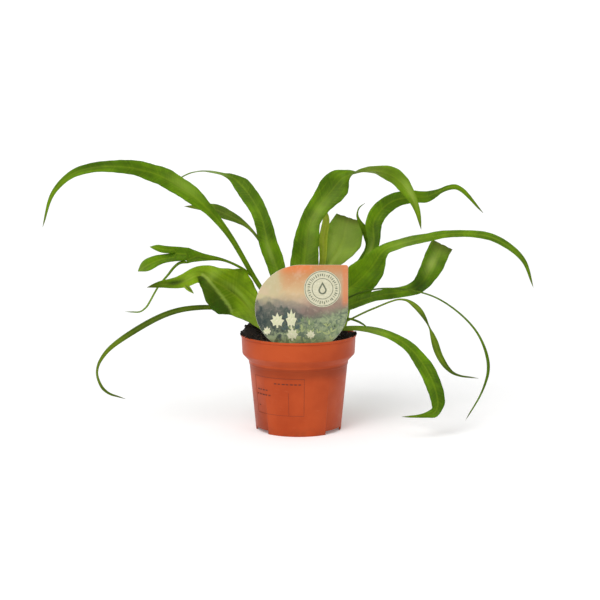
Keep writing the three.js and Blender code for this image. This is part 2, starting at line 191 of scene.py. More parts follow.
class Shader:
    """A material with one Principled shader, and short names for the nodes that feed it."""

    def __init__(self, name):
        self.material = bpy.data.materials.new(name)
        self.material.use_nodes = True
        self.tree = self.material.node_tree
        self.surface = self.tree.nodes["Principled BSDF"]
        self.place = self.node("ShaderNodeTexCoord").outputs["Object"]

    def node(self, kind, sockets=None, **settings):
        made = self.tree.nodes.new(kind)
        for key, value in settings.items():
            setattr(made, key, value)
        set_sockets(self.tree, made, sockets or {})
        return made

    def attribute(self, name):
        return self.node("ShaderNodeAttribute", attribute_name=name).outputs["Vector"]

    def split(self, vector):
        made = self.node("ShaderNodeSeparateXYZ", {"Vector": vector})
        return [made.outputs[axis] for axis in "XYZ"]

    def math(self, operation, a, b=0.0, c=0.0):
        return self.node("ShaderNodeMath", {0: a, 1: b, 2: c}, operation=operation).outputs[0]

    def times(self, a, b):
        return self.math("MULTIPLY", a, b)

    def plus(self, a, b):
        return self.math("ADD", a, b)

    def muladd(self, a, b, c):
        return self.math("MULTIPLY_ADD", a, b, c)

    def noise(self, scale, detail=3.0, roughness=0.55, distortion=0.0, at=None):
        sockets = {"Vector": at or self.place, "Scale": scale, "Detail": detail,
                   "Roughness": roughness, "Distortion": distortion}
        return self.node("ShaderNodeTexNoise", sockets).outputs["Fac"]

    def fit(self, value, low, high, to_low=0.0, to_high=1.0):
        sockets = {"Value": value, "From Min": low, "From Max": high, "To Min": to_low, "To Max": to_high}
        return self.node("ShaderNodeMapRange", sockets, interpolation_type="SMOOTHSTEP").outputs[0]

    def mix(self, share, a, b):
        return self.node("ShaderNodeMix", {0: share, 6: a, 7: b}, data_type="RGBA").outputs[2]

    def paint(self, share, colour, amount=1.0):
        """Lays a colour over the material's own where share is high, up to an amount."""
        share = share if amount == 1.0 else self.times(share, amount)
        self.colour = self.mix(share, self.colour, colour)

    def ramp(self, value, stops):
        made = self.node("ShaderNodeValToRGB", {"Fac": value})
        elements = made.color_ramp.elements
        while len(elements) < len(stops):
            elements.new(0.5)
        for element, (position, colour) in zip(elements, stops):
            element.position = position
            element.color = colour
        return made.outputs["Color"]

    def bump(self, height, distance, strength=1.0, under=None):
        sockets = {"Height": height, "Distance": distance, "Strength": strength}
        if under:
            sockets["Normal"] = under
        return self.node("ShaderNodeBump", sockets).outputs["Normal"]

    def finish(self, roughness, normal=None, specular=0.5, **values):
        values.update({"Base Color": self.colour, "Roughness": roughness, "Specular IOR Level": specular})
        if normal:
            values["Normal"] = normal
        set_sockets(self.tree, self.surface, values)
        return self.material


def rgb(red, green, blue):
    """A colour given as the eye sees it, from 0 to 255, in the linear values that shaders use."""
    def linear(c):
        c /= 255
        return c / 12.92 if c <= 0.04045 else ((c + 0.055) / 1.055) ** 2.4
    return (linear(red), linear(green), linear(blue), 1.0)


# ------------------------ materials

VEIN_PITCH = 1.25  # in mm, as the "leaf" attribute is
BROWN = rgb(92, 62, 34)
PETIOLE_GREEN = rgb(150, 170, 78)

LEAF_TONES = {  # dark, middle and light green of the upper side
    "mid": (rgb(62, 90, 2), rgb(92, 126, 3), rgb(130, 156, 28)),
    "deep": (rgb(50, 76, 3), rgb(76, 106, 5), rgb(112, 138, 26)),
    "bright": (rgb(84, 112, 4), rgb(116, 146, 10), rgb(156, 176, 48)),
    "olive": (rgb(64, 84, 8), rgb(92, 114, 16), rgb(126, 146, 42)),
    "young": (rgb(132, 148, 28), rgb(166, 178, 48), rgb(198, 206, 96)),
}


def leaf_material(tone):
    """A leathery green blade: fine slanting veins, pale midrib, mottling, brown at base and tip.

    Attributes: "leaf" holds mm across and along the blade and the frond's own number, "place" the
    share of its length, the share of its half width and 1 on the upper side, "patch" shade and light.
    """
    dark, middle, light = LEAF_TONES[tone]
    s = Shader("leaf_" + tone)
    across, along, seed = s.split(s.attribute("leaf"))
    share, edge, side = s.split(s.attribute("place"))
    shaded, lit, _ = s.split(s.attribute("light_and_tone"))
    far = s.math("ABSOLUTE", across)
    slant = s.muladd(far, -0.7, along)
    vein = s.math("SINE", s.times(slant, TURN / VEIN_PITCH))
    wander = s.noise(38.0, 2.0)
    mottle = s.noise(260.0)
    streak_at = s.node("ShaderNodeCombineXYZ", {"X": slant, "Y": s.times(far, 0.04), "Z": seed})
    streak = s.noise(0.55, 2.0, at=streak_at.outputs[0])
    s.colour = s.mix(s.fit(wander, 0.34, 0.66), dark, middle)
    s.paint(s.fit(streak, 0.4, 0.75), light, 0.2)
    s.paint(s.fit(mottle, 0.5, 0.8), dark, 0.22)
    s.paint(s.muladd(vein, 0.025, 0.025), light)
    band_at = s.node("ShaderNodeCombineXYZ", {"X": across, "Y": s.times(along, 0.07), "Z": seed})
    band = s.noise(0.42, at=band_at.outputs[0])
    s.paint(s.fit(band, 0.5, 0.36), dark, 0.4)
    s.paint(s.fit(band, 0.56, 0.72), light, 0.2)
    rib = s.fit(far, 1.3, 0.25)
    s.paint(rib, light, 0.22)
    young_base = s.fit(along, 70.0, 8.0)
    s.paint(young_base, PETIOLE_GREEN, 0.6)
    s.paint(s.fit(along, 15.0, 3.0), BROWN)
    underneath = s.fit(side, 0.7, 0.3)
    paler = s.mix(0.45, s.colour, light)
    s.paint(underneath, paler, 0.55)
    # Painted shade and painted highlight from the frond's patches and its crease; a few patches darken
    # tips, where the frond's own colour is darker.
    s.paint(shaded, rgb(28, 48, 3), 0.8)
    s.paint(lit, rgb(176, 194, 96), 0.55)
    dry = s.muladd(s.noise(420.0, 2.0), 0.016, share)
    tip = s.times(s.fit(dry, 0.94, 1.01), 0.6)
    s.paint(tip, rgb(64, 54, 26))
    rim = s.times(s.fit(edge, 0.93, 1.0), s.fit(s.noise(90.0, 2.0), 0.55, 0.7))
    s.paint(rim, BROWN, 0.4)
    height = s.muladd(vein, 0.35, s.times(mottle, 0.6))
    coarse = s.bump(s.noise(120.0, 2.0), 0.0009, 0.5)
    normal = s.bump(height, 0.00022, 0.6, coarse)
    rough = s.muladd(mottle, 0.25, 0.3)
    values = {"Subsurface Weight": 0.1, "Subsurface Radius": (0.4, 1.0, 0.1),
              "Subsurface Scale": 0.002}
    return s.finish(rough, normal, 0.08, **values)


def pot_material():
    """Moulded terracotta-coloured plastic: slight clouding, fine scuffs, mould texture, a band of painted
    shade under the collar and darker blotches near the foot.
    """
    s = Shader("pot_orange")
    cloud = s.noise(22.0)
    speck = s.noise(700.0, 2.0)
    height = s.split(s.place)[2]
    s.colour = s.mix(s.fit(cloud, 0.3, 0.7), rgb(166, 64, 26), rgb(182, 76, 34))
    s.paint(s.fit(speck, 0.62, 0.75), rgb(150, 60, 28), 0.18)
    stretch = s.node("ShaderNodeMapping", {"Vector": s.place, "Scale": (1.0, 1.0, 7.0)}).outputs[0]
    scuff = s.fit(s.noise(60.0, 5.0, 0.7, at=stretch), 0.62, 0.72)
    s.paint(scuff, rgb(206, 120, 84), 0.16)
    # Painted shade: a darker band on the body just under the collar, where the collar shades it.
    painted_collar_shade = s.times(s.fit(height, 0.056, 0.066), s.fit(height, 0.0715, 0.0705))
    s.paint(painted_collar_shade, rgb(112, 42, 18), 0.45)
    # Darker brown blotches over the lowest 12 mm of the pot.
    foot_darkening = s.times(s.fit(height, 0.012, 0.0), s.fit(s.noise(80.0), 0.4, 0.7))
    s.paint(foot_darkening, rgb(96, 54, 34), 0.3)
    rough = s.muladd(s.noise(150.0), 0.22, 0.3)
    grain = s.bump(s.noise(1600.0, 2.0), 0.00005, 0.5)
    normal = s.bump(s.noise(90.0, 2.0, at=stretch), 0.0003, 0.25, grain)
    return s.finish(rough, normal, 0.14)


def pot_inside_material():
    s = Shader("pot_black")
    dust = s.fit(s.noise(300.0, 4.0), 0.5, 0.75)
    s.colour = s.mix(s.times(dust, 0.5), rgb(24, 22, 21), rgb(58, 46, 38))
    return s.finish(0.5, s.bump(s.noise(900.0, 2.0), 0.0001, 0.5))


def soil_material(name, dark, light):
    """Damp peat: near-black with brown flecks and a very broken surface."""
    s = Shader(name)
    grains = s.noise(900.0, 4.0, 0.7)
    clods = s.noise(180.0)
    s.colour = s.mix(s.fit(grains, 0.42, 0.72), dark, light)
    s.paint(s.fit(clods, 0.35, 0.6), dark, 0.6)
    rough = s.muladd(grains, 0.2, 0.78)
    normal = s.bump(grains, 0.0009, 0.9, s.bump(clods, 0.002, 0.7))
    return s.finish(rough, normal, 0.25)


def fibre_material(name, dark, light):
    s = Shader(name)
    fine = s.noise(1100.0)
    s.colour = s.mix(s.fit(fine, 0.35, 0.7), dark, light)
    return s.finish(0.8, s.bump(fine, 0.0003, 0.6))


LEAF = {tone: leaf_material(tone) for tone in LEAF_TONES}
POT_ORANGE = pot_material()
POT_BLACK = pot_inside_material()
PEAT = soil_material("peat", rgb(20, 16, 13), rgb(58, 44, 33))
CRUMB = soil_material("peat_crumb", rgb(24, 19, 15), rgb(78, 58, 42))
FIBRE = fibre_material("peat_fibre", rgb(70, 50, 34), rgb(132, 102, 70))
CROWN_FUZZ = fibre_material("crown_fuzz", rgb(46, 32, 20), rgb(110, 82, 50))

# ------------------------ fronds, read from the CAD nodes

FROND_TONES = (
    ("long_left", "mid"), ("second_left", "mid"), ("small_left", "olive"), ("folded_left", "bright"),
    ("low_left", "olive"), ("forked_left", "mid"), ("centre", "mid"), ("blunt_back", "bright"),
    ("young", "young"), ("curled", "deep"), ("right_upper", "mid"), ("long_right", "mid"),
    ("kinked_right", "mid"), ("thin_right", "deep"), ("twisted_right", "olive"), ("low_right", "mid"),
    ("small_right", "deep"), ("back_long", "mid"), ("back_left", "deep"), ("back_right", "bright"),
)
# Soft darker (below 0) and lighter (above 0) patches, mostly painted shade and painted highlight, partly
# the darker colour of tips: where along the frond (0 base, 1 tip), where across (-1 left, 1 right), how far
# each way, and how strong.
PAINTED_LIGHT_AND_TONE = {
    "long_left": [(0.5, 0.4, 0.05, 0.6, 0.35), (0.78, 0.5, 0.12, 0.6, -0.4), (0.3, 0, 0.12, 2, -0.3)],
    "second_left": [(0.3, -0.2, 0.06, 0.25, 0.5), (0.42, 0.5, 0.1, 0.4, -0.3), (0.8, 0, 0.1, 2, 0.2)],
    "folded_left": [(0.42, -0.8, 0.08, 0.4, -0.5), (0.22, 0.7, 0.05, 0.5, -0.5),
        (0.4, 0.05, 0.1, 0.06, -0.6), (0.4, 0.2, 0.1, 0.08, 0.4), (0.6, 0.3, 0.03, 0.6, 0.35),
        (0.66, -0.2, 0.04, 0.6, -0.35), (0.74, 0.2, 0.05, 0.6, 0.2), (0.82, 0.1, 0.05, 0.35, -0.9),
        (0.86, 0, 0.06, 2, -0.4), (0.96, 0, 0.06, 2, -0.8)],
    "centre": [(0.3, -0.3, 0.08, 0.5, -0.3), (0.42, 0.2, 0.06, 0.5, 0.2), (0.56, 0.0, 0.05, 1, -0.3),
        (0.68, 0, 0.05, 2, 0.45), (0.76, 0.4, 0.04, 0.6, -0.4), (0.86, 0.3, 0.05, 0.5, 0.55),
        (0.36, 0.3, 0.2, 0.5, 0.25)],
    "blunt_back": [(0.75, 0, 0.4, 2, 0.65), (0.7, -0.5, 0.14, 0.25, 0.6), (0.62, 0.15, 0.1, 0.14, 0.9),
        (0.92, -0.1, 0.08, 0.5, 0.35), (0.62, 0.8, 0.12, 0.25, -0.4)],
    "right_upper": [(0.36, -0.3, 0.05, 0.3, 0.5), (0.46, 0.3, 0.07, 0.8, -0.35), (0.7, 0, 0.04, 2, -0.3)],
    "long_right": [(0.24, 0.7, 0.06, 0.25, -0.6), (0.33, 0.5, 0.04, 0.4, -0.4), (0.45, 0, 0.06, 2, 0.25),
        (0.9, 0, 0.1, 2, -0.4)],
    "kinked_right": [(0.48, 0, 0.12, 2, -0.5), (0.72, 0.1, 0.07, 2, -1.0), (0.88, -0.15, 0.06, 0.4, 0.9),
        (0.97, 0.3, 0.04, 0.8, 0.35), (0.86, 0.9, 0.08, 0.25, -0.4)],
    "twisted_right": [(0.62, 0, 0.03, 2, -0.8), (0.9, 0, 0.06, 2, -0.5)],
    "thin_right": [(0.25, 0, 0.15, 2, -0.6), (0.8, 0, 0.1, 2, -0.4)],
    "low_left": [(0.5, 0, 0.25, 2, -0.35), (0.95, 0, 0.1, 2, -0.6)],
    "low_right": [(0.3, 0, 0.08, 2, 0.3), (0.75, -0.6, 0.12, 0.4, -0.3), (0.9, 0, 0.03, 2, -0.4)],
    "forked_left": [(0.55, -0.3, 0.05, 0.4, -0.4), (0.85, 0, 0.05, 2, 0.25)],
}
# A frond that is creased where a corner of its left half bends back: the crease runs from one place [along,
# across] to another, and the corner beyond it turns by an angle. The corner beyond it also gets painted
# shade, and a painted highlight runs along the crease.
CREASES = {"folded_left": ((64 * MM, -15 * MM), (112 * MM, -1 * MM), radians(13))}
# Small pointed lobes on a margin: share along, side, length, width, degrees back from straight out.
LOBES = {"folded_left": (0.78, -1, 11 * MM, 5 * MM, 20)}

ROW_PITCH = 2.2 * MM
COLUMN_PITCH = 2.1 * MM
RIB_COLUMN = 1.35  # above 1, columns crowd towards the midrib
FOLD_CURVE = 1.3  # 1 is a sharp fold at the midrib, 2 a round one
STEM_WIDTH = (4.5 * MM, 9 * MM)  # between these widths a round stem turns into a flat blade
BLUNT_TIP = 0.2  # a tip shorter than this share of the width is a blunt end
BLADE_HALF = 0.24 * MM
EDGE_HALF = 0.09 * MM
RIB_HEIGHT = 0.5 * MM
RIB_HALF_WIDTH = 0.55 * MM
TIP_GAP = 0.35 * MM  # a pointed blade's last row lies this far before its tip
TORN_DEPTH = 0.35 * MM  # how ragged a blunt end is
THINNEST = 0.2 * MM
BRANCH_FADE = 12 * MM  # after a fork, the ruffles grow over this length
LOBE_ROOT = 2.5 * MM  # how far a lobe reaches into the blade that it grows from


def welded(node):
    """A CAD node's points, and for each point those that share an edge with it."""
    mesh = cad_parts[node].data
    places = {}
    points = []
    index = []
    for vertex in mesh.vertices:
        key = tuple(round(c * 1e6) for c in vertex.co)
        if key not in places:
            places[key] = len(points)
            points.append(np.array(vertex.co))
        index.append(places[key])
    near = [set() for _ in points]
    for edge in mesh.edges:
        a, b = (index[i] for i in edge.vertices)
        if a != b:
            near[a].add(b)
            near[b].add(a)
    return points, near


def groups_of(members, near):
    """The members split into those that hang together."""
    left = set(members)
    groups = []
    while left:
        group = {left.pop()}
        reach = set(group)
        while reach:
            reach = set().union(*(near[i] for i in reach)) & left
            left -= reach
            group |= reach
        groups.append(group)
    return groups


class Stretch:
    """A frond between its base or a fork and the next fork or the tip, as rows across the blade."""

    def __init__(self):
        self.left = []
        self.middle = []
        self.right = []
        self.thickness = []
        self.blunt = False
        self.branches = []  # the left and the right Stretch after a fork
        self.split = 0.5  # the share of the width where they part

    def add(self, left, middle, right, thickness):
        self.left.append(left)
        self.middle.append(middle)
        self.right.append(right)
        self.thickness.append(thickness)


def read_ring(points, near, ring, across):
    """The ring's left and right corners, the middle of the blade and its thickness there."""
    apart = [(i, k) for i in ring for k in ring if i < k and k not in near[i]]
    a, b = max(apart, key=lambda pair: norm(points[pair[0]] - points[pair[1]]))
    if (points[b] - points[a]) @ across < 0:
        a, b = b, a
    top, below = (points[i] for i in ring if i not in (a, b))
    return points[a], points[b], (top + below) / 2, norm(top - below)


def read_stretch(points, near, ring, behind, across, stretch):
    """Reads rings into a stretch up to the tip, and its branches where the frond forks."""
    while True:
        left, right, middle, thickness = read_ring(points, near, ring, across)
        stretch.add(left, middle, right, thickness)
        across = right - left
        ahead = set().union(*(near[i] for i in ring)) - ring - behind
        behind = ring
        if len(ahead) == 1:
            tip = points[next(iter(ahead))]
            short = norm(tip - (left + right) / 2)
            stretch.blunt = short < BLUNT_TIP * norm(across)
            if not stretch.blunt:
                stretch.add(tip, tip, tip, 0.0)
            return stretch
        parts = groups_of(ahead, near)
        if len(parts) == 1:
            ring = ahead
            continue
        stretch.split = (middle - left) @ across / (across @ across)
        crotch = left + stretch.split * across
        sides = sorted(parts, key=lambda g: sum((points[i] - crotch) @ across for i in g))
        for part, (a, b) in zip(sides, ((left, crotch), (crotch, right))):
            branch = Stretch()
            branch.add(a, (a + b) / 2, b, thickness)
            read_stretch(points, near, part, behind, across, branch)
            stretch.branches.append(branch)
        return stretch


def read_frond(node):
    points, near = welded(node)
    low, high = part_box("crown")
    crown = np.array((low + high) / 2)
    ends = [i for i, others in enumerate(near) if len(others) == 4]
    base = min(ends, key=lambda i: norm(points[i] - crown))
    ring = set(near[base])
    out = points[base] - crown
    upper = np.array([0.0, -1.0, 1.0])  # every stem's upper side faces up and to the front
    return read_stretch(points, near, ring, {base}, np.cross(out, upper), Stretch())


# ------------------------ fronds, as fine blades


def along_curve(knots, values, at):
    """A smooth curve through values at knots, read at the places `at`."""
    values = np.asarray(values, float)
    slopes = np.gradient(values, knots, axis=0) if len(knots) > 2 else np.zeros_like(values)
    if len(knots) <= 2:
        slopes[:] = (values[-1] - values[0]) / (knots[-1] - knots[0])
    i = np.clip(np.searchsorted(knots, at, side="right") - 1, 0, len(knots) - 2)
    span = knots[i + 1] - knots[i]
    t = (at - knots[i]) / span
    if values.ndim == 2:
        t, span = t[:, None], span[:, None]
    h00, h10 = 2 * t**3 - 3 * t**2 + 1, t**3 - 2 * t**2 + t
    h01, h11 = 3 * t**2 - 2 * t**3, t**3 - t**2
    return h00 * values[i] + h10 * span * slopes[i] + h01 * values[i + 1] + h11 * span * slopes[i + 1]


class Ruffle:
    """The slow waves and small irregularities of one frond's two margins."""

    WAVES = ((43 * MM, 0.04), (24 * MM, 0.022), (13 * MM, 0.006))  # length, share of the width
    OUTLINE = ((31 * MM, 0.014), (10 * MM, 0.006))

    def __init__(self, rng):
        self.phase = rng.uniform(0, TURN, (2, len(self.WAVES) + len(self.OUTLINE)))

    def series(self, waves, phases, s):
        return sum(a * np.sin(TURN * s / length + p) for (length, a), p in zip(waves, phases))

    def lift(self, side, s):
        return self.series(self.WAVES, self.phase[side], s)

    def swell(self, side, s):
        return self.series(self.OUTLINE, self.phase[side][len(self.WAVES):], s)


class BladeMesh:
    """One frond's closed skin, grown row by row, with the values its material reads."""

    def __init__(self, seed, length, patches, crease):
        self.points = []
        self.values = {"leaf": [], "place": [], "light_and_tone": []}
        self.faces = []
        self.seed = seed
        self.length = length
        self.patches = patches
        self.crease = crease

    def light_and_tone_at(self, s, x, u):
        """How much each point of a row is shaded and lit."""
        shaded, lit = np.zeros(len(u)), np.zeros(len(u))
        for share, across, long, wide, amount in self.patches:
            near = ((s / self.length - share) / long) ** 2 + ((u - across) / wide) ** 2
            target = lit if amount > 0 else shaded
            target += abs(amount) * np.exp(-near)
        # Painted shade on the bent-back corner beyond the crease, and a painted highlight along the crease
        # on its near side.
        if self.crease:
            (start, _), (end, _), _ = self.crease
            beyond = self.beyond_crease(s, x)
            shaded += 0.75 * (beyond > 0.3 * MM)
            ridge = np.exp(-((beyond + 1.2 * MM) / (1.6 * MM)) ** 2) * (beyond > -3 * MM)
            lit += 0.7 * ridge * (start - 4 * MM < s < end + 4 * MM)
        return np.clip(shaded, 0, 1), np.clip(lit, 0, 1)

    def beyond_crease(self, s, x):
        """How far each point of a row lies beyond the crease, negative on the near side."""
        (s0, x0), (s1, x1), _ = self.crease
        limit = x0 + (x1 - x0) * (s - s0) / (s1 - s0)
        fade = np.clip(1 - max(s0 - s, s - s1, 0) / (8 * MM), 0, 1)
        beyond = limit - x
        return np.where(beyond > 0, beyond * fade, beyond)

    def add_row(self, tops, bottoms, across, s, u):
        start = len(self.points)
        count = len(tops)
        shaded, lit = self.light_and_tone_at(s, across, u)
        for side, row in ((1.0, tops), (0.0, bottoms)):
            self.points.extend(row)
            self.values["leaf"].extend((x / MM, s / MM, self.seed) for x in across)
            self.values["place"].extend((s / self.length, abs(e), side) for e in u)
            self.values["light_and_tone"].extend((dark, light, 0) for dark, light in zip(shaded, lit))
        top = list(range(start, start + count))
        return top, list(range(start + count, start + 2 * count))

    def join(self, lower, upper):
        (top_a, low_a), (top_b, low_b) = lower, upper
        for j in range(len(top_a) - 1):
            self.faces.append((top_a[j], top_a[j + 1], top_b[j + 1], top_b[j]))
            self.faces.append((low_a[j + 1], low_a[j], low_b[j], low_b[j + 1]))
        self.faces.append((low_a[0], top_a[0], top_b[0], low_b[0]))
        self.faces.append((top_a[-1], low_a[-1], low_b[-1], top_b[-1]))

    def cap(self, row, first):
        top, low = row
        for j in range(len(top) - 1):
            face = (top[j], low[j], low[j + 1], top[j + 1])
            self.faces.append(face if first else face[::-1])


def blade_rows(stretch, begin):
    """Fine rows of a stretch: arrays of left, right, middle, normal, thickness, and distances."""
    left, middle, right = (np.array(v) for v in (stretch.left, stretch.middle, stretch.right))
    centre = (left + right) / 2
    steps = norm(np.diff(centre, axis=0), axis=1)
    knots = np.concatenate([[0], np.cumsum(np.maximum(steps, 1e-5))])
    reach = knots[-1] if stretch.blunt or stretch.branches else knots[-1] - TIP_GAP
    count = max(3, ceil(reach / ROW_PITCH))
    at = np.linspace(0, reach, count + 1)
    left, middle, right = (along_curve(knots, v, at) for v in (left, middle, right))
    thickness = np.maximum(along_curve(knots, stretch.thickness, at), THINNEST)
    centre = (left + right) / 2
    along = unit(np.gradient(centre, axis=0))
    normal = unit(np.cross(right - left, along))
    return left, middle, right, along, normal, thickness, begin + at


def grow_blade(mesh, stretch, first_row, columns, begin, ruffle, rng):
    left, middle, right, along, normal, thickness, s = blade_rows(stretch, begin)
    width = norm(right - left, axis=1)
    flat = smoothstep(width, *STEM_WIDTH)
    fade = smoothstep(s, begin, begin + BRANCH_FADE) if first_row else np.ones_like(s)
    lift = [ruffle.lift(side, s) * width * flat * fade for side in (0, 1)]
    swell = [ruffle.swell(side, s) * width * flat * fade for side in (0, 1)]
    rib = np.minimum(RIB_HEIGHT, 0.05 * width) * flat
    u = np.linspace(-1, 1, columns + 1)
    u = np.sign(u) * np.abs(u) ** (RIB_COLUMN if columns > 6 else 1.0)
    bow = (left + right) / 2 - middle
    torn = rng.uniform(-1, 1, len(u)) if stretch.blunt else np.zeros(len(u))
    last = first_row
    for i in range(1 if first_row else 0, len(s)):
        side = (u > 0).astype(int)
        x = u * width[i] / 2
        wave = np.array([lift[0][i], lift[1][i]])[side] * np.abs(u) ** 2.2
        grow = np.array([-swell[0][i], swell[1][i]])[side] * np.abs(u) ** 2
        sheet = middle[i] + u[:, None] * (right[i] - left[i]) / 2
        sheet = sheet + bow[i] * (np.abs(u) ** FOLD_CURVE)[:, None]
        aside = unit(right[i] - left[i])
        sheet = sheet + normal[i] * wave[:, None] + aside * grow[:, None]
        if mesh.crease:
            beyond = np.maximum(mesh.beyond_crease(s[i], x), 0)
            turn = mesh.crease[2]
            sheet = sheet + aside * (beyond * (1 - cos(turn)))[:, None]
            sheet = sheet - normal[i] * (beyond * sin(turn))[:, None]
        if i == len(s) - 1:
            sheet = sheet + along[i] * (torn * TORN_DEPTH)[:, None]
        ridge = rib[i] * np.exp(-((x / RIB_HALF_WIDTH) ** 2))
        blade = EDGE_HALF + (BLADE_HALF - EDGE_HALF) * (1 - np.abs(u) ** 3)
        stem = thickness[i] / 2 * np.sqrt(np.maximum(1 - u * u, 0)) + 0.05 * MM
        half = blade * flat[i] + stem * (1 - flat[i])
        tops = sheet + normal[i] * (half + 0.3 * ridge)[:, None]
        bottoms = sheet - normal[i] * (half + ridge)[:, None]
        row = mesh.add_row(tops, bottoms, x, s[i], u)
        if last is None:
            mesh.cap(row, True)
        else:
            mesh.join(last, row)
        last = row
    if not stretch.branches:
        mesh.cap(last, False)
        return
    top, low = last
    k = int(np.clip(np.searchsorted(u, 2 * stretch.split - 1), 2, columns - 2))
    for branch, span in zip(stretch.branches, (slice(0, k + 1), slice(k, None))):
        row = (top[span], low[span])
        grow_blade(mesh, branch, row, len(row[0]) - 1, s[-1], ruffle, rng)


def length_of(stretch):
    centre = (np.array(stretch.left) + np.array(stretch.right)) / 2
    own = norm(np.diff(centre, axis=0), axis=1).sum()
    return own + max((length_of(branch) for branch in stretch.branches), default=0)


def add_lobe(mesh, stretch, share, side, length, width, back):
    """A small pointed lobe that grows from one margin and ends in the blade beside it."""
    left, middle, right, along, normal, _, s = blade_rows(stretch, 0.0)
    i = int(np.searchsorted(s, share * mesh.length))
    aside = unit(right[i] - left[i]) * side
    angle = radians(back)
    out = aside * cos(angle) - along[i] * sin(angle)
    cross = unit(np.cross(normal[i], out))
    root = (left if side < 0 else right)[i] - aside * LOBE_ROOT
    lobe = Stretch()
    for t, w in ((0, 0.9), (0.35, 1), (0.7, 0.6), (1, 0)):
        spot = root + out * (length + LOBE_ROOT) * t + normal[i] * 2 * MM * t * t
        half = cross * width * w / 2
        lobe.add(spot - half, spot - normal[i] * 0.4 * MM * w, spot + half, BLADE_HALF * 2)
    grow_blade(mesh, lobe, None, 8, s[i], Ruffle(np.random.default_rng(2)), None)


def add_frond(number, name, tone):
    node = "frond_" + name
    rng = np.random.default_rng(100 + number)
    stretch = read_frond(node)
    mesh = BladeMesh(number * 7.3, length_of(stretch), PAINTED_LIGHT_AND_TONE.get(name, []), CREASES.get(name))
    widest = max(norm(r - l) for l, r in zip(stretch.left, stretch.right))
    columns = 2 * int(np.clip(round(widest / 2 / COLUMN_PITCH), 5, 12))
    grow_blade(mesh, stretch, None, columns, 0.0, Ruffle(rng), rng)
    if name in LOBES:
        add_lobe(mesh, stretch, *LOBES[name])
    add_piece(node + "_blade", mesh.points, mesh.faces, [LEAF[tone]], [node], values=mesh.values)


for number, (name, tone) in enumerate(FROND_TONES):
    add_frond(number, name, tone)

# ------------------------ pot


def levels_of(node):
    """{height: (smallest radius, largest radius)} of a turned CAD node's corners, in metres."""
    found = {}
    for x, y, z in corners_of(node):
        key = round(z / (0.05 * MM)) * 0.05 * MM
        r = hypot(x, y)
        low, high = found.get(key, (r, r))
        found[key] = (min(low, r), max(high, r))
    return dict(sorted(found.items()))


POT_SIDES = 192
pot_levels = levels_of("pot")
heights = list(pot_levels)
body_top, collar_foot, lip_bottom, lip_top = heights[-4:]
foot_radius = pot_levels[heights[0]][1]
body_radius = pot_levels[body_top][1]
collar_foot_radius = pot_levels[collar_foot][1]
lip_radius = pot_levels[lip_top][1]
rim_inner = pot_levels[lip_top][0]
collar_radius = pot_levels[lip_bottom][0]
wall = body_radius - pot_levels[body_top][0]
hub_radius = 16 * MM
floor_lift = 4 * MM
BAND_HEIGHT = 4.5 * MM  # a slightly prouder band round the top of the body
BAND_STEP = 0.45 * MM
HOLE_RADIUS = 4 * MM
HUB_SLOPE = 3 * MM  # how far the hub's side runs out on its way up to the floor


def foot_gaps():
    """The notches in the foot ring, as (middle angle, half width), from the CAD pot."""
    ring = [p for p in corners_of("pot") if p[2] < 0.1 * MM and hypot(p[0], p[1]) > 0.9 * foot_radius]
    angles = sorted({round(atan2(p[1], p[0]), 3) for p in ring})
    gaps = []
    for a, b in zip(angles, angles[1:] + [angles[0] + TURN]):
        if b - a > radians(16):
            gaps.append(((a + b) / 2, (b - a) / 2))
    return gaps


def drain_holes():
    """Centres and radius of the holes through the floor, from the CAD pot's corners there."""
    rim = [p for p in corners_of("pot") if abs(p[2] - floor_lift) < 0.1 * MM]
    rim = [p[:2] for p in rim if hub_radius * 1.3 < hypot(p[0], p[1]) < foot_radius * 0.9]
    clusters = []
    for p in rim:
        for cluster in clusters:
            if norm(p - cluster[0]) < 2.2 * HOLE_RADIUS:
                cluster.append(p)
                break
        else:
            clusters.append([p])
    return [(np.min(cluster, axis=0) + np.max(cluster, axis=0)) / 2 for cluster in clusters]


def pot_profile():
    step = body_top - BAND_HEIGHT
    def body(z):
        return foot_radius + (body_radius - foot_radius) * z / body_top
    outer = [
        (0, 0, 0),
        (hub_radius, 0, 0.6 * MM),
        (hub_radius + HUB_SLOPE, floor_lift, 0.6 * MM),
        (foot_radius - wall, floor_lift, 0.4 * MM),
        (foot_radius - wall, 0, 0.3 * MM),
        (foot_radius, 0, 0.5 * MM),
        (body(step) - BAND_STEP, step, 0.4 * MM),
        (body(step + BAND_STEP) - 0.05 * MM, step + BAND_STEP, 0.4 * MM),
        (body_radius, body_top, 0.9 * MM),
        (collar_foot_radius, collar_foot, 1.2 * MM),
        (collar_radius, lip_bottom - 0.5 * MM, 0.3 * MM),
        (collar_radius - 0.25 * MM, lip_bottom - 0.2 * MM, 0.15 * MM),
        (lip_radius - 0.1 * MM, lip_bottom + 0.2 * MM, 0.3 * MM),
        (lip_radius, lip_top, 0.8 * MM),
    ]
    inner = [
        (rim_inner, lip_top, 0.7 * MM),
        (collar_foot_radius - wall, collar_foot, 2.0 * MM),
        (body_radius - wall, body_top, 1.6 * MM),
        (body(floor_lift + wall) - wall, floor_lift + wall, 1.0 * MM),
        (hub_radius + HUB_SLOPE, floor_lift + wall, 0.6 * MM),
        (hub_radius, wall, 0.6 * MM),
        (0, wall, 0),
    ]
    return rounded_profile(outer + inner)


def notch_wedge(middle, half):
    """The block that cuts one notch through the foot ring."""
    low, high = foot_radius - 3.5 * MM, foot_radius + 3 * MM
    steps = 12
    angles = [middle + half * (2 * i / steps - 1) for i in range(steps + 1)]
    points = []
    for a in angles:
        for r, z in ((low, -MM), (high, -MM), (high, floor_lift), (low, floor_lift)):
            points.append((*polar(r, a), z))
    return points, skin(steps, 4)


def apply_modifiers(obj):
    depsgraph = bpy.context.evaluated_depsgraph_get()
    mesh = bpy.data.meshes.new_from_object(obj.evaluated_get(depsgraph))
    obj.modifiers.clear()
    obj.data = mesh


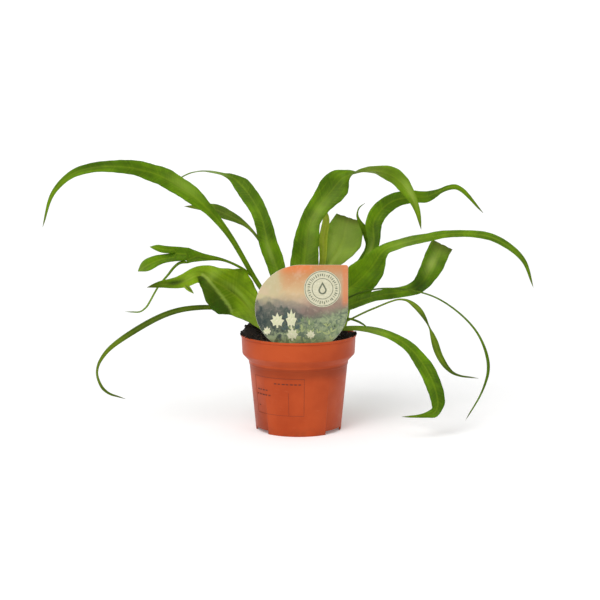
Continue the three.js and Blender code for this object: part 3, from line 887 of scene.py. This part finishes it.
def cut_openings(obj):
    """Cuts the drain holes and the foot ring's notches."""
    heap = Heap()
    for x, y in drain_holes():
        profile = [(0, -MM), (HOLE_RADIUS, -MM), (HOLE_RADIUS, 3 * floor_lift), (0, 3 * floor_lift)]
        points, faces = lathe(profile, 24)
        heap.add([(px + x, py + y, pz) for px, py, pz in points], faces)
    for middle, half in foot_gaps():
        heap.add(*notch_wedge(middle, half))
    cutter = add_object("cutter", new_mesh("cutter", heap.points, heap.faces))
    modifier = obj.modifiers.new("openings", "BOOLEAN")
    modifier.operation = "DIFFERENCE"
    modifier.solver = "EXACT"
    modifier.object = cutter
    bpy.context.view_layer.update()
    apply_modifiers(obj)
    bpy.data.objects.remove(cutter)


def add_pot():
    profile = pot_profile()
    points, faces = lathe(profile, POT_SIDES)
    rows = len(profile) - 1
    top = max(range(len(profile)), key=lambda i: profile[i][1])
    black_from = next(i for i in range(top, len(profile)) if profile[i][1] < lip_top - 0.6 * MM)
    inside = [1 if i % rows > black_from else 0 for i in range(len(faces))]
    pot = add_piece("pot_shell", points, faces, [POT_ORANGE, POT_BLACK], ["pot"], inside)
    cut_openings(pot)


add_pot()

# ------------------------ the print on the pot

PRINT_ANGLES = (-62, 7)  # degrees from the front, towards +X
PRINT_HEIGHTS = (22 * MM, 61 * MM)
PRINT_LINE = 0.28 * MM
PRINT_SUNK, PRINT_PROUD = 0.1 * MM, 0.04 * MM
# Rows of dashes: height as a share of the frame's, where the row starts and ends, how many, how tall.
PRINT_ROWS = ((0.84, 0.46, 0.97, 7, 1.1 * MM), (0.63, 0.06, 0.34, 4, 1.3 * MM),
              (0.5, 0.03, 0.4, 5, 1.3 * MM), (0.2, 0.07, 0.12, 1, 1.1 * MM))


def on_body(share, height, proud):
    """A point on the pot's body: `share` across the print's frame, at a height."""
    angle = radians(PRINT_ANGLES[0] + share * (PRINT_ANGLES[1] - PRINT_ANGLES[0]) - 90)
    radius = foot_radius + (body_radius - foot_radius) * height / body_top - 0.35 * MM * height / body_top
    radius = (radius + proud) / cos(pi / POT_SIDES)
    return (*polar(radius, angle), height)


def print_bar(heap, start, end, low, high):
    """A thin curved bar on the body from share to share and from height to height."""
    steps = max(2, ceil(abs(end - start) * 36))
    points = []
    for i in range(steps + 1):
        share = start + (end - start) * i / steps
        points += [on_body(share, low, -PRINT_SUNK), on_body(share, high, -PRINT_SUNK),
                   on_body(share, high, PRINT_PROUD), on_body(share, low, PRINT_PROUD)]
    heap.add(points, skin(steps, 4))


def add_print():
    heap = Heap()
    low, high = PRINT_HEIGHTS
    for z in (low, high):
        print_bar(heap, 0, 1, z, z + PRINT_LINE)
    thin = PRINT_LINE / (radians(PRINT_ANGLES[1] - PRINT_ANGLES[0]) * body_radius)
    for share in (0, 1 - thin, 0.72):
        print_bar(heap, share, share + thin, low, high if share != 0.72 else low + 0.62 * (high - low))
    for level, start, end, count, size in PRINT_ROWS:
        z = low + level * (high - low)
        pitch = (end - start) / count
        for i in range(count):
            length = pitch * random.uniform(0.55, 0.85)
            print_bar(heap, start + i * pitch, start + i * pitch + length, z, z + size)
    ink = fibre_material("print_ink", rgb(104, 42, 20), rgb(78, 32, 18))
    heap.add_as_piece("pot_print", ink)


add_print()

# ------------------------ soil

SOIL_SIDES = 144
SOIL_RINGS = 34
CRUMBS, RIM_CRUMBS, FIBRES = 1500, 170, 150
SOIL_LUMPS = 1.6 * MM
HEAP_LIMIT, HEAP_SLOPE = 2.5 * MM, 2.2  # the most above the lip at the wall, and its rise inwards
soil_levels = levels_of("soil")
soil_edge_height = [z for z, (low, high) in soil_levels.items() if high > 0.95 * rim_inner][-1]
soil_edge_radius = soil_levels[soil_edge_height][1]
soil_top = list(soil_levels)[-1]
HEAPS = ((186, 0.94, 12 * MM, 14 * MM), (160, 0.9, 12 * MM, 12 * MM), (130, 0.9, 10 * MM, 4 * MM),
         (40, 0.8, 12 * MM, 3 * MM), (-4, 0.92, 9 * MM, 5 * MM))  # degrees, share of radius, spread, height


def soil_height(x, y):
    """The height of the soil's surface, lumpy and heaped at a few places by the wall."""
    share = min(1.0, hypot(x, y) / soil_edge_radius)
    z = soil_top + (soil_edge_height - soil_top) * share**2
    for angle, at, spread, height in HEAPS:
        hx, hy = polar(at * soil_edge_radius, radians(angle))
        z += height * exp(-((x - hx) ** 2 + (y - hy) ** 2) / spread**2)
    z += SOIL_LUMPS * noise.fractal(Vector((x, y, 0)) * 90, 1.0, 2.1, 4)
    return min(z, lip_top + HEAP_LIMIT + HEAP_SLOPE * (1 - share) * soil_edge_radius)


def soil_body_profile():
    """The soil below its surface: inside the pot's wall by the CAD soil's clearance."""
    gap = rim_inner - soil_edge_radius
    inset = wall + min(gap, 0.5 * MM)
    return [
        (0, wall + gap),
        (hub_radius, wall + gap),
        (hub_radius + HUB_SLOPE, floor_lift + wall + gap),
        (foot_radius - inset, floor_lift + wall + gap),
        (body_radius - inset - 0.3 * MM, body_top),
        (collar_foot_radius - inset - 0.3 * MM, collar_foot + 1 * MM),
    ]


def add_soil():
    rings = [(soil_edge_radius * (1 - i / SOIL_RINGS), soil_edge_height) for i in range(SOIL_RINGS)]
    profile = soil_body_profile() + rings + [(0, soil_top)]
    points, faces = lathe(profile, SOIL_SIDES)
    surface_from = 1 + (len(soil_body_profile()) - 1) * SOIL_SIDES
    shaped = []
    for i, (x, y, z) in enumerate(points):
        if i >= surface_from:
            z = soil_height(x, y)
        shaped.append((x, y, z))
    add_piece("soil_bed", shaped, faces, [PEAT], ["soil"])


def lump(rng, size, flat):
    """An irregular grain: a small ball, squashed, turned and dented."""
    phi = (1 + 5**0.5) / 2
    ball = np.array([(-1, phi, 0), (1, phi, 0), (-1, -phi, 0), (1, -phi, 0), (0, -1, phi), (0, 1, phi),
                     (0, -1, -phi), (0, 1, -phi), (phi, 0, -1), (phi, 0, 1), (-phi, 0, -1), (-phi, 0, 1)])
    ball = unit(ball) * (1 + rng.uniform(-0.28, 0.28, (12, 1)))
    ball = ball * np.array([1, rng.uniform(0.6, 1.0), flat]) * size
    axes = np.linalg.qr(rng.normal(size=(3, 3)))[0]
    if np.linalg.det(axes) < 0:
        axes[:, 0] *= -1
    return ball @ axes.T


LUMP_FACES = [(0, 11, 5), (0, 5, 1), (0, 1, 7), (0, 7, 10), (0, 10, 11), (1, 5, 9), (5, 11, 4),
              (11, 10, 2), (10, 7, 6), (7, 1, 8), (3, 9, 4), (3, 4, 2), (3, 2, 6), (3, 6, 8),
              (3, 8, 9), (4, 9, 5), (2, 4, 11), (6, 2, 10), (8, 6, 7), (9, 8, 1)]


def add_crumbs():
    rng = np.random.default_rng(11)
    heap = Heap()
    for _ in range(CRUMBS):
        r = soil_edge_radius * sqrt(rng.uniform(0.02, 1.0)) - 0.5 * MM
        angle = rng.uniform(0, TURN)
        x, y = polar(r, angle)
        size = rng.choice([0.5, 0.8, 1.2, 1.9], p=[0.4, 0.33, 0.2, 0.07]) * MM * rng.uniform(0.8, 1.2)
        z = soil_height(x, y) + size * 0.3
        heap.add(lump(rng, size, rng.uniform(0.5, 0.9)) + np.array([x, y, z]), LUMP_FACES)
    for i in range(RIM_CRUMBS):
        angle = radians(rng.normal(180, 16) if i % 3 else rng.normal(-4, 7))
        r = rng.uniform(rim_inner - 1.5 * MM, lip_radius + 0.3 * MM)
        size = rng.uniform(0.5, 1.3) * MM
        spot = np.array([*polar(r, angle), lip_top + size * 0.4])
        heap.add(lump(rng, size, 0.7) + spot, LUMP_FACES)
    heap.add_as_piece("soil_crumbs", CRUMB)


def bent_strip(rng, length, width, spot, direction, rise):
    """A thin bent fibre of square section that tapers to its end."""
    steps = 6
    side = unit(np.cross(direction, [0, 0, 1.0]))
    bend = rng.normal(0, 0.5)
    points = []
    for i in range(steps + 1):
        t = i / steps
        here = spot + direction * length * t + side * bend * length * t * t * 0.5
        here = here + np.array([0, 0, rise * sin(pi * t)])
        w = width * (1 - 0.8 * t) / 2
        points += [here - side * w, here + np.array([0, 0, w]), here + side * w, here - np.array([0, 0, w])]
    return points, skin(steps, 4)


def add_fibres():
    rng = np.random.default_rng(5)
    heap = Heap()
    for _ in range(FIBRES):
        r = soil_edge_radius * sqrt(rng.uniform(0.08, 0.9))
        angle = rng.uniform(0, TURN)
        x, y = polar(r, angle)
        spot = np.array([x, y, soil_height(x, y) + 0.4 * MM])
        heading = rng.uniform(0, TURN)
        direction = np.array([*polar(1, heading), 0.0])
        length = rng.uniform(2.5, 7.5) * MM
        end = spot[:2] + direction[:2] * length * 1.3
        if norm(end) < soil_edge_radius:
            shape = bent_strip(rng, length, rng.uniform(0.25, 0.6) * MM, spot, direction, 0.9 * MM)
            heap.add(*shape)
    heap.add_as_piece("soil_fibres", FIBRE, smooth=True)


add_soil()
add_crumbs()
add_fibres()

# ------------------------ crown

CROWN_SCALES = 420


def add_crown():
    low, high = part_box("crown")
    radius = (high.x - low.x) / 2
    middle = Vector((0, 0, high.z - radius))
    steps = 20
    profile = [(0, low.z), (radius * 0.6, low.z)]
    profile += [(radius * cos(a), middle.z + radius * sin(a))
                for a in (pi / 2 * i / steps for i in range(steps))]
    profile.append((0, high.z))
    points, faces = lathe(profile, 64)
    lumpy = []
    for p in points:
        out = Vector(p) - middle
        dent = 0.9 * MM * noise.fractal(Vector(p) * 160, 1.0, 2.0, 3) - 0.6 * MM
        lumpy.append(tuple(Vector(p) + out.normalized() * dent))
    add_piece("crown_rhizome", lumpy, faces, [CROWN_FUZZ], ["crown"])
    rng = np.random.default_rng(3)
    heap = Heap()
    for _ in range(CROWN_SCALES):
        up = asin(rng.uniform(0.02, 0.97))
        angle = rng.uniform(0, TURN)
        out = np.array([*polar(cos(up), angle), sin(up)])
        root = np.array(middle) + out * (radius - 1.2 * MM)
        direction = unit(out + np.array([0, 0, 0.9]) + rng.normal(0, 0.25, 3))
        side = unit(np.cross(direction, out + np.array([0.01, 0, 0])))
        length = rng.uniform(3, 7) * MM
        half = rng.uniform(0.35, 0.7) * MM
        thick = out * 0.12 * MM
        middle_of = root + direction * length * 0.55 + side * rng.normal(0, 0.3 * MM)
        points = [root - side * half, root + side * half, middle_of + side * half * 0.6,
                  middle_of - side * half * 0.6, root + direction * length]
        points = [p - thick for p in points] + [p + thick for p in points]
        faces = [(3, 2, 1, 0), (4, 2, 3), (5, 6, 7, 8), (8, 7, 9), (0, 1, 6, 5), (1, 2, 7, 6),
                 (2, 4, 9, 7), (4, 3, 8, 9), (3, 0, 5, 8)]
        heap.add(points, faces)
    heap.add_as_piece("crown_scales", CROWN_FUZZ)


add_crown()

# ------------------------ plant label

label_low, label_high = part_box("plant_label")
label_corners = corners_of("plant_label")
card_front, card_back = label_low.y, label_high.y
on_top = label_corners[label_corners[:, 2] > label_high.z - 0.05 * MM]
on_right = label_corners[label_corners[:, 0] > label_high.x - 0.05 * MM]
card_x, card_z = on_top[:, 0].min(), on_right[:, 2].min()  # the middle of the card's oval
half_width, half_height = label_high.x - card_x, label_high.z - card_z
card_corner = label_high.x - on_top[:, 0].max()
SEAL_AT = (21.2 * MM, 20.3 * MM)  # from the middle of the card, right and up
SEAL_RADIUS = 18.7 * MM
SEAL_TICKS = 40
INK_PROUD = 0.07 * MM  # each printed layer stands this far in front of the last
INK_THICKNESS = 0.06 * MM
INK_STAGGER = 0.008 * MM  # keeps the faces of overlapping shapes in one layer apart


def arc(cx, cz, radius, start, end, steps, tall=None):
    """Points on an arc, or on an oval of half height `tall`, in degrees anticlockwise from the right."""
    angles = [radians(start + (end - start) * i / steps) for i in range(steps + 1)]
    return [(cx + radius * cos(a), cz + (tall or radius) * sin(a)) for a in angles]


def oval(start, end, steps):
    """Points on the card's oval."""
    return arc(card_x, card_z, half_width, start, end, steps, half_height)


def card_outline():
    stake = label_corners[label_corners[:, 2] < card_z - half_height]
    off = np.abs(stake[:, 0] - card_x)
    half, tip = off.max(), stake[:, 2].min()
    tip_half = off[stake[:, 2] < tip + MM].max()
    shoulder = stake[off > 0.98 * half][:, 2].min()
    lean = degrees(asin(half / half_width))
    outline = [(card_x - tip_half, tip), (card_x + tip_half, tip), (card_x + half, shoulder)]
    outline += oval(-90 + lean, 0, 40)
    outline += arc(label_high.x - card_corner, label_high.z - card_corner, card_corner, 0, 90, 10)
    outline += oval(90, 270 - lean, 80)
    outline += [(card_x - half, shoulder)]
    return outline


def card_print_material():
    """A generic watercolour sunset over misty woods, painted by noise."""
    s = Shader("label_print")
    centre = (card_x, card_front, card_z)
    spot = s.node("ShaderNodeVectorMath", {0: s.place, 1: centre}, operation="SUBTRACT").outputs[0]
    scaled = s.node("ShaderNodeVectorMath", {0: spot, 3: 1 / half_width}, operation="SCALE")
    x, _, z = s.split(scaled.outputs[0])
    blot = s.noise(55.0, 4.0, 0.6, 0.6)
    cloud = s.noise(26.0, 3.0, 0.6, 1.2)
    fine = s.noise(260.0, 4.0, 0.6)
    washed = s.plus(z, s.muladd(blot, 0.34, -0.17))
    s.colour = s.ramp(s.fit(washed, -1.0, 1.0), [
        (0.0, rgb(140, 150, 100)), (0.3, rgb(112, 116, 94)), (0.42, rgb(112, 98, 92)),
        (0.52, rgb(138, 122, 110)), (0.62, rgb(168, 150, 122)), (0.74, rgb(200, 172, 130)),
        (0.86, rgb(196, 156, 112)), (1.0, rgb(190, 124, 72))])
    greens = s.times(s.fit(s.plus(x, cloud), 0.1, -0.4), s.fit(z, 0.0, 0.35))
    s.paint(greens, rgb(190, 190, 138), 0.6)
    pale_left = s.times(s.fit(s.muladd(blot, 0.4, x), -0.1, -0.4), s.fit(z, 0.1, 0.4))
    s.paint(pale_left, rgb(186, 176, 138), 0.85)
    mauve = s.times(s.fit(s.plus(x, blot), 0.75, 1.1), s.fit(z, 0.95, 0.6))
    s.paint(mauve, rgb(168, 158, 134), 0.55)
    dusk = s.times(s.fit(s.plus(x, blot), 0.4, 0.8), s.fit(s.math("ABSOLUTE", z), 0.4, 0.1))
    s.paint(dusk, rgb(134, 106, 94), 0.75)
    s.paint(s.fit(cloud, 0.52, 0.68), rgb(204, 176, 150), 0.45)
    blush = s.times(s.fit(z, 0.7, 0.9), s.fit(s.math("ABSOLUTE", s.plus(x, 0.12)), 0.45, 0.25))
    s.paint(blush, rgb(216, 120, 62), 0.7)
    strip = s.times(s.fit(x, 0.83, 0.92), s.fit(z, -0.05, 0.2))
    s.paint(strip, rgb(204, 120, 72), 0.75)
    for at, swing, freq, shade, depth in (
            (0.12, 0.3, 1.3, rgb(112, 116, 104), 0.65), (-0.02, 0.55, 2.4, rgb(52, 70, 62), 1.0),
            (-0.2, 0.6, 3.6, rgb(30, 46, 46), 0.85)):
        row = s.node("ShaderNodeTexNoise", {"W": s.muladd(x, freq, at * 9), "Scale": 1.9,
                                            "Detail": 5.0}, noise_dimensions="1D").outputs["Fac"]
        slope = s.muladd(x, -0.16, at - swing / 2)
        ridge = s.muladd(row, swing, slope)
        under = s.math("SUBTRACT", ridge, z)
        shown = s.times(s.fit(under, -0.02, 0.05), s.fit(blot, 0.62, 0.3, 0.35, 1.0))
        side = s.fit(s.muladd(cloud, 0.8, x), 0.9, -0.1, 0.35, 1.0)
        s.paint(s.times(shown, side), shade, depth)
    leafy = s.fit(s.noise(230.0, 4.0, 0.6, 0.8), 0.4, 0.6)
    low_down = s.fit(s.plus(z, s.times(x, -0.3)), -0.14, -0.42)
    s.paint(s.times(low_down, s.fit(x, -0.5, 0.1)), rgb(88, 104, 84))
    s.paint(s.times(leafy, low_down), rgb(138, 150, 112))
    meadow = s.fit(s.muladd(fine, 0.3, z), -0.42, -0.72)
    s.paint(meadow, rgb(146, 158, 90), 0.6)
    s.paint(s.fit(fine, 0.5, 0.75), rgb(214, 204, 180), 0.16)
    sheen = s.bump(s.noise(1200.0, 2.0), 0.00003, 0.4)
    return s.finish(0.35, sheen, 0.35)


def plain_ink(name, dark, light):
    s = Shader(name)
    s.colour = s.mix(s.fit(s.noise(500.0), 0.35, 0.7), dark, light)
    return s.finish(0.4)


def add_card():
    outline = card_outline()
    points = []
    inset = 0.1 * MM
    middle = np.array([card_x, card_z])
    for y, shrink in ((card_front, inset), (card_front + inset, 0), (card_back - inset, 0),
                      (card_back, inset)):
        for corner in outline:
            out = np.array(corner) - middle
            x, z = middle + out * (1 - shrink / norm(out))
            points.append((x, y, z))
    faces = skin(3, len(outline))
    which = [0] + [1] * (len(faces) - 1)
    back = plain_ink("label_card_back", rgb(222, 218, 206), rgb(236, 232, 222))
    add_piece("label_card", points, faces, [card_print_material(), back], ["plant_label"],
              which, smooth=False)


def decal(heap, outline, layer, turn=0):
    """A thin printed shape on the front of the card. Shapes that overlap in a layer differ in turn."""
    front = card_front - layer * INK_PROUD - turn % 7 * INK_STAGGER
    heap.add(*slab(outline, front, front + INK_THICKNESS))


def printed_ring(heap, cx, cz, radius, width, layer, sides=72):
    """A thin printed circle, as a band of small quads joined into one closed ring."""
    front = card_front - layer * INK_PROUD
    back = front + INK_THICKNESS
    points = []
    for k in range(sides):
        a = TURN * k / sides
        for r, y in ((radius - width / 2, front), (radius + width / 2, front),
                     (radius + width / 2, back), (radius - width / 2, back)):
            points.append((cx + r * cos(a), y, cz + r * sin(a)))
    faces = []
    for k in range(sides):
        n = (k + 1) % sides
        for j in range(4):
            m = (j + 1) % 4
            faces.append((4 * k + j, 4 * n + j, 4 * n + m, 4 * k + m))
    heap.add(points, faces)


def inside_card(points):
    wide, high = half_width - 1.5 * MM, half_height - 1.5 * MM
    return all(hypot((x - card_x) / wide, (z - card_z) / high) < 1 for x, z in points)


def leaf_outline(x, z, angle, length, width):
    """A pointed leaf: two curved sides from its foot to its tip."""
    steps = 7
    outline = []
    for side in (1, -1):
        run = range(steps + 1) if side == 1 else range(steps - 1, 0, -1)
        for i in run:
            t = i / steps
            off = side * width / 2 * sin(pi * t**0.8)
            outline.append((x + length * t * cos(angle) - off * sin(angle),
                            z + length * t * sin(angle) + off * cos(angle)))
    return outline


def lobed_outline(x, z, height, width):
    """A broad leaf with five pointed lobes on a short stalk."""
    half = [(0.0, 1.0), (0.13, 0.72), (0.36, 0.82), (0.3, 0.56), (0.5, 0.5), (0.34, 0.3), (0.3, 0.12),
            (0.08, 0.2), (0.06, 0.0)]
    outline = [(x + width * u, z + height * v) for u, v in half]
    outline += [(x - width * u, z + height * v) for u, v in reversed(half[1:])]
    return outline


PRINTED_LEAVES = (  # middle, foot, height and width, as shares of the card's half width
    (-0.52, -0.42, 0.34, 0.3), (-0.22, -0.44, 0.44, 0.24), (-0.2, -0.7, 0.3, 0.26), (0.2, -0.66, 0.2, 0.2),
    (-0.74, -0.58, 0.2, 0.18))


def add_printed_leaves():
    rng = random.Random(21)
    inks = [("ink_teal", rgb(54, 76, 72), rgb(76, 96, 86), 8, (-0.7, 0.1, -0.55, -0.2)),
            ("ink_green", rgb(104, 122, 84), rgb(124, 140, 100), 20, (-0.3, 0.8, -0.78, -0.3)),
            ("ink_straw", rgb(156, 166, 112), rgb(142, 156, 98), 22, (-0.5, 0.66, -0.85, -0.38))]
    for layer, (name, dark, light, clumps, (left, right, low, high)) in enumerate(inks, 1):
        heap = Heap()
        turn = 0
        for _ in range(clumps):
            cx = card_x + half_width * rng.uniform(left, right)
            cz = card_z + half_height * rng.uniform(low, high)
            for k in range(rng.choice([3, 4, 5])):
                angle = radians(90 + rng.uniform(-62, 62))
                size = rng.uniform(3, 6.5) * MM
                outline = leaf_outline(cx, cz, angle, size, size * 0.26)
                if inside_card(outline):
                    turn += 1
                    decal(heap, outline, layer, turn=turn)
        heap.add_as_piece(f"label_leaves_{layer}", plain_ink(name, dark, light))
    heap = Heap()
    for turn, (x, z, height, width) in enumerate(PRINTED_LEAVES):
        decal(heap, lobed_outline(card_x + x * half_width, card_z + z * half_width, height * half_width,
                                  width * half_width), 4, turn=turn)
    cream = plain_ink("ink_leaf_cream", rgb(196, 200, 156), rgb(216, 210, 184))
    heap.add_as_piece("label_leaves_4", cream)


def add_seal():
    """A plain round badge: rings, a ring of ticks and a water drop."""
    cx, cz = card_x + SEAL_AT[0], card_z + SEAL_AT[1]
    cream = plain_ink("ink_cream", rgb(194, 190, 160), rgb(208, 204, 178))
    brown = plain_ink("ink_grey_brown", rgb(92, 98, 78), rgb(112, 116, 94))
    disc = Heap()
    decal(disc, arc(cx, cz, SEAL_RADIUS, 0, 356, 89), 5)
    disc.add_as_piece("label_seal_disc", cream)
    marks = Heap()
    for share in (0.94, 0.56):
        printed_ring(marks, cx, cz, SEAL_RADIUS * share, 0.6 * MM, 6)
    for k in range(SEAL_TICKS):
        angle = TURN * (k + random.uniform(-0.15, 0.15)) / SEAL_TICKS
        inner, outer = SEAL_RADIUS * random.uniform(0.66, 0.71), SEAL_RADIUS * random.uniform(0.78, 0.85)
        half = random.uniform(0.3, 0.6) * MM
        across = (-sin(angle) * half, cos(angle) * half)
        decal(marks, [(cx + r * cos(angle) + s * across[0], cz + r * sin(angle) + s * across[1])
                      for r, s in ((inner, -1), (outer, -1), (outer, 1), (inner, 1))], 6)
    drop = 4.2 * MM
    low = arc(cx, cz - 1.5 * MM, drop, -210, 30, 24)
    decal(marks, low + [(cx, cz + 2.05 * drop - 1.5 * MM)], 6)
    marks.add_as_piece("label_seal_marks", brown)
    shine = Heap()
    decal(shine, arc(cx, cz - 1.5 * MM, drop * 0.62, -200, 20, 20) + [(cx, cz + 0.95 * drop)], 7)
    shine.add_as_piece("label_seal_drop", cream)


add_card()
add_printed_leaves()
add_seal()

# ------------------------ floor, light and camera

EYE = Vector((0.0015, -1.85, 0.418))
AIM = Vector((0.0015, 0.0, 0.135))
LENS = 108.5


def add_floor():
    """A pale floor that curves up into a pale back wall."""
    half, depth, bend, tall, steps = 5.0, 3.5, 1.2, 4.0, 16
    line = [(-5.0, 0.0)]
    line += [(depth + bend * sin(a), bend - bend * cos(a))
             for a in (pi / 2 * i / steps for i in range(steps + 1))]
    line.append((depth + bend, tall))
    points = [(x, y, z) for y, z in line for x in (-half, half)]
    faces = [(2 * i, 2 * i + 1, 2 * i + 3, 2 * i + 2) for i in range(len(line) - 1)]
    floor = add_object("floor", new_mesh("floor", points, faces, True))
    s = Shader("floor_paper")
    soft = s.noise(3.0, 2.0)
    s.colour = s.mix(soft, rgb(242, 242, 242), rgb(246, 246, 246))
    glow = {"Emission Color": (1, 1, 1, 1), "Emission Strength": 0.12}
    floor.data.materials.append(s.finish(0.9, specular=0.0, **glow))


def facing(direction):
    """The turn that points a light or the camera in a direction."""
    return direction.to_track_quat("-Z", "Y").to_euler()


def add_light(name, place, power, size):
    data = bpy.data.lights.new(name, "AREA")
    data.energy = power
    data.shape = "DISK"
    data.size = size
    light = add_object(name, data)
    light.location = place
    light.rotation_euler = facing(AIM - Vector(place))


def add_sun(name, towards, strength, angle):
    """Soft light that is the same all over the floor."""
    data = bpy.data.lights.new(name, "SUN")
    data.energy = strength
    data.angle = radians(angle)
    add_object(name, data).rotation_euler = facing(Vector(towards))


def add_camera():
    data = bpy.data.cameras.new("camera")
    data.lens = LENS
    camera = add_object("camera", data)
    camera.location = EYE
    camera.rotation_euler = facing(AIM - EYE)
    bpy.context.scene.camera = camera


def add_sky():
    world = bpy.data.worlds.new("studio")
    world.use_nodes = True
    background = world.node_tree.nodes["Background"]
    background.inputs["Color"].default_value = (1, 1, 1, 1)
    background.inputs["Strength"].default_value = 0.6
    bpy.context.scene.world = world


add_floor()
add_sun("sky_light", (0.5, 1.0, -1.3), 1.35, 40)
add_light("key", (-0.9, -1.6, 1.4), 7, 0.8)
add_light("fill", (1.4, -1.2, 0.9), 3, 1.0)
add_camera()
add_sky()
bpy.context.scene.view_settings.view_transform = "Standard"
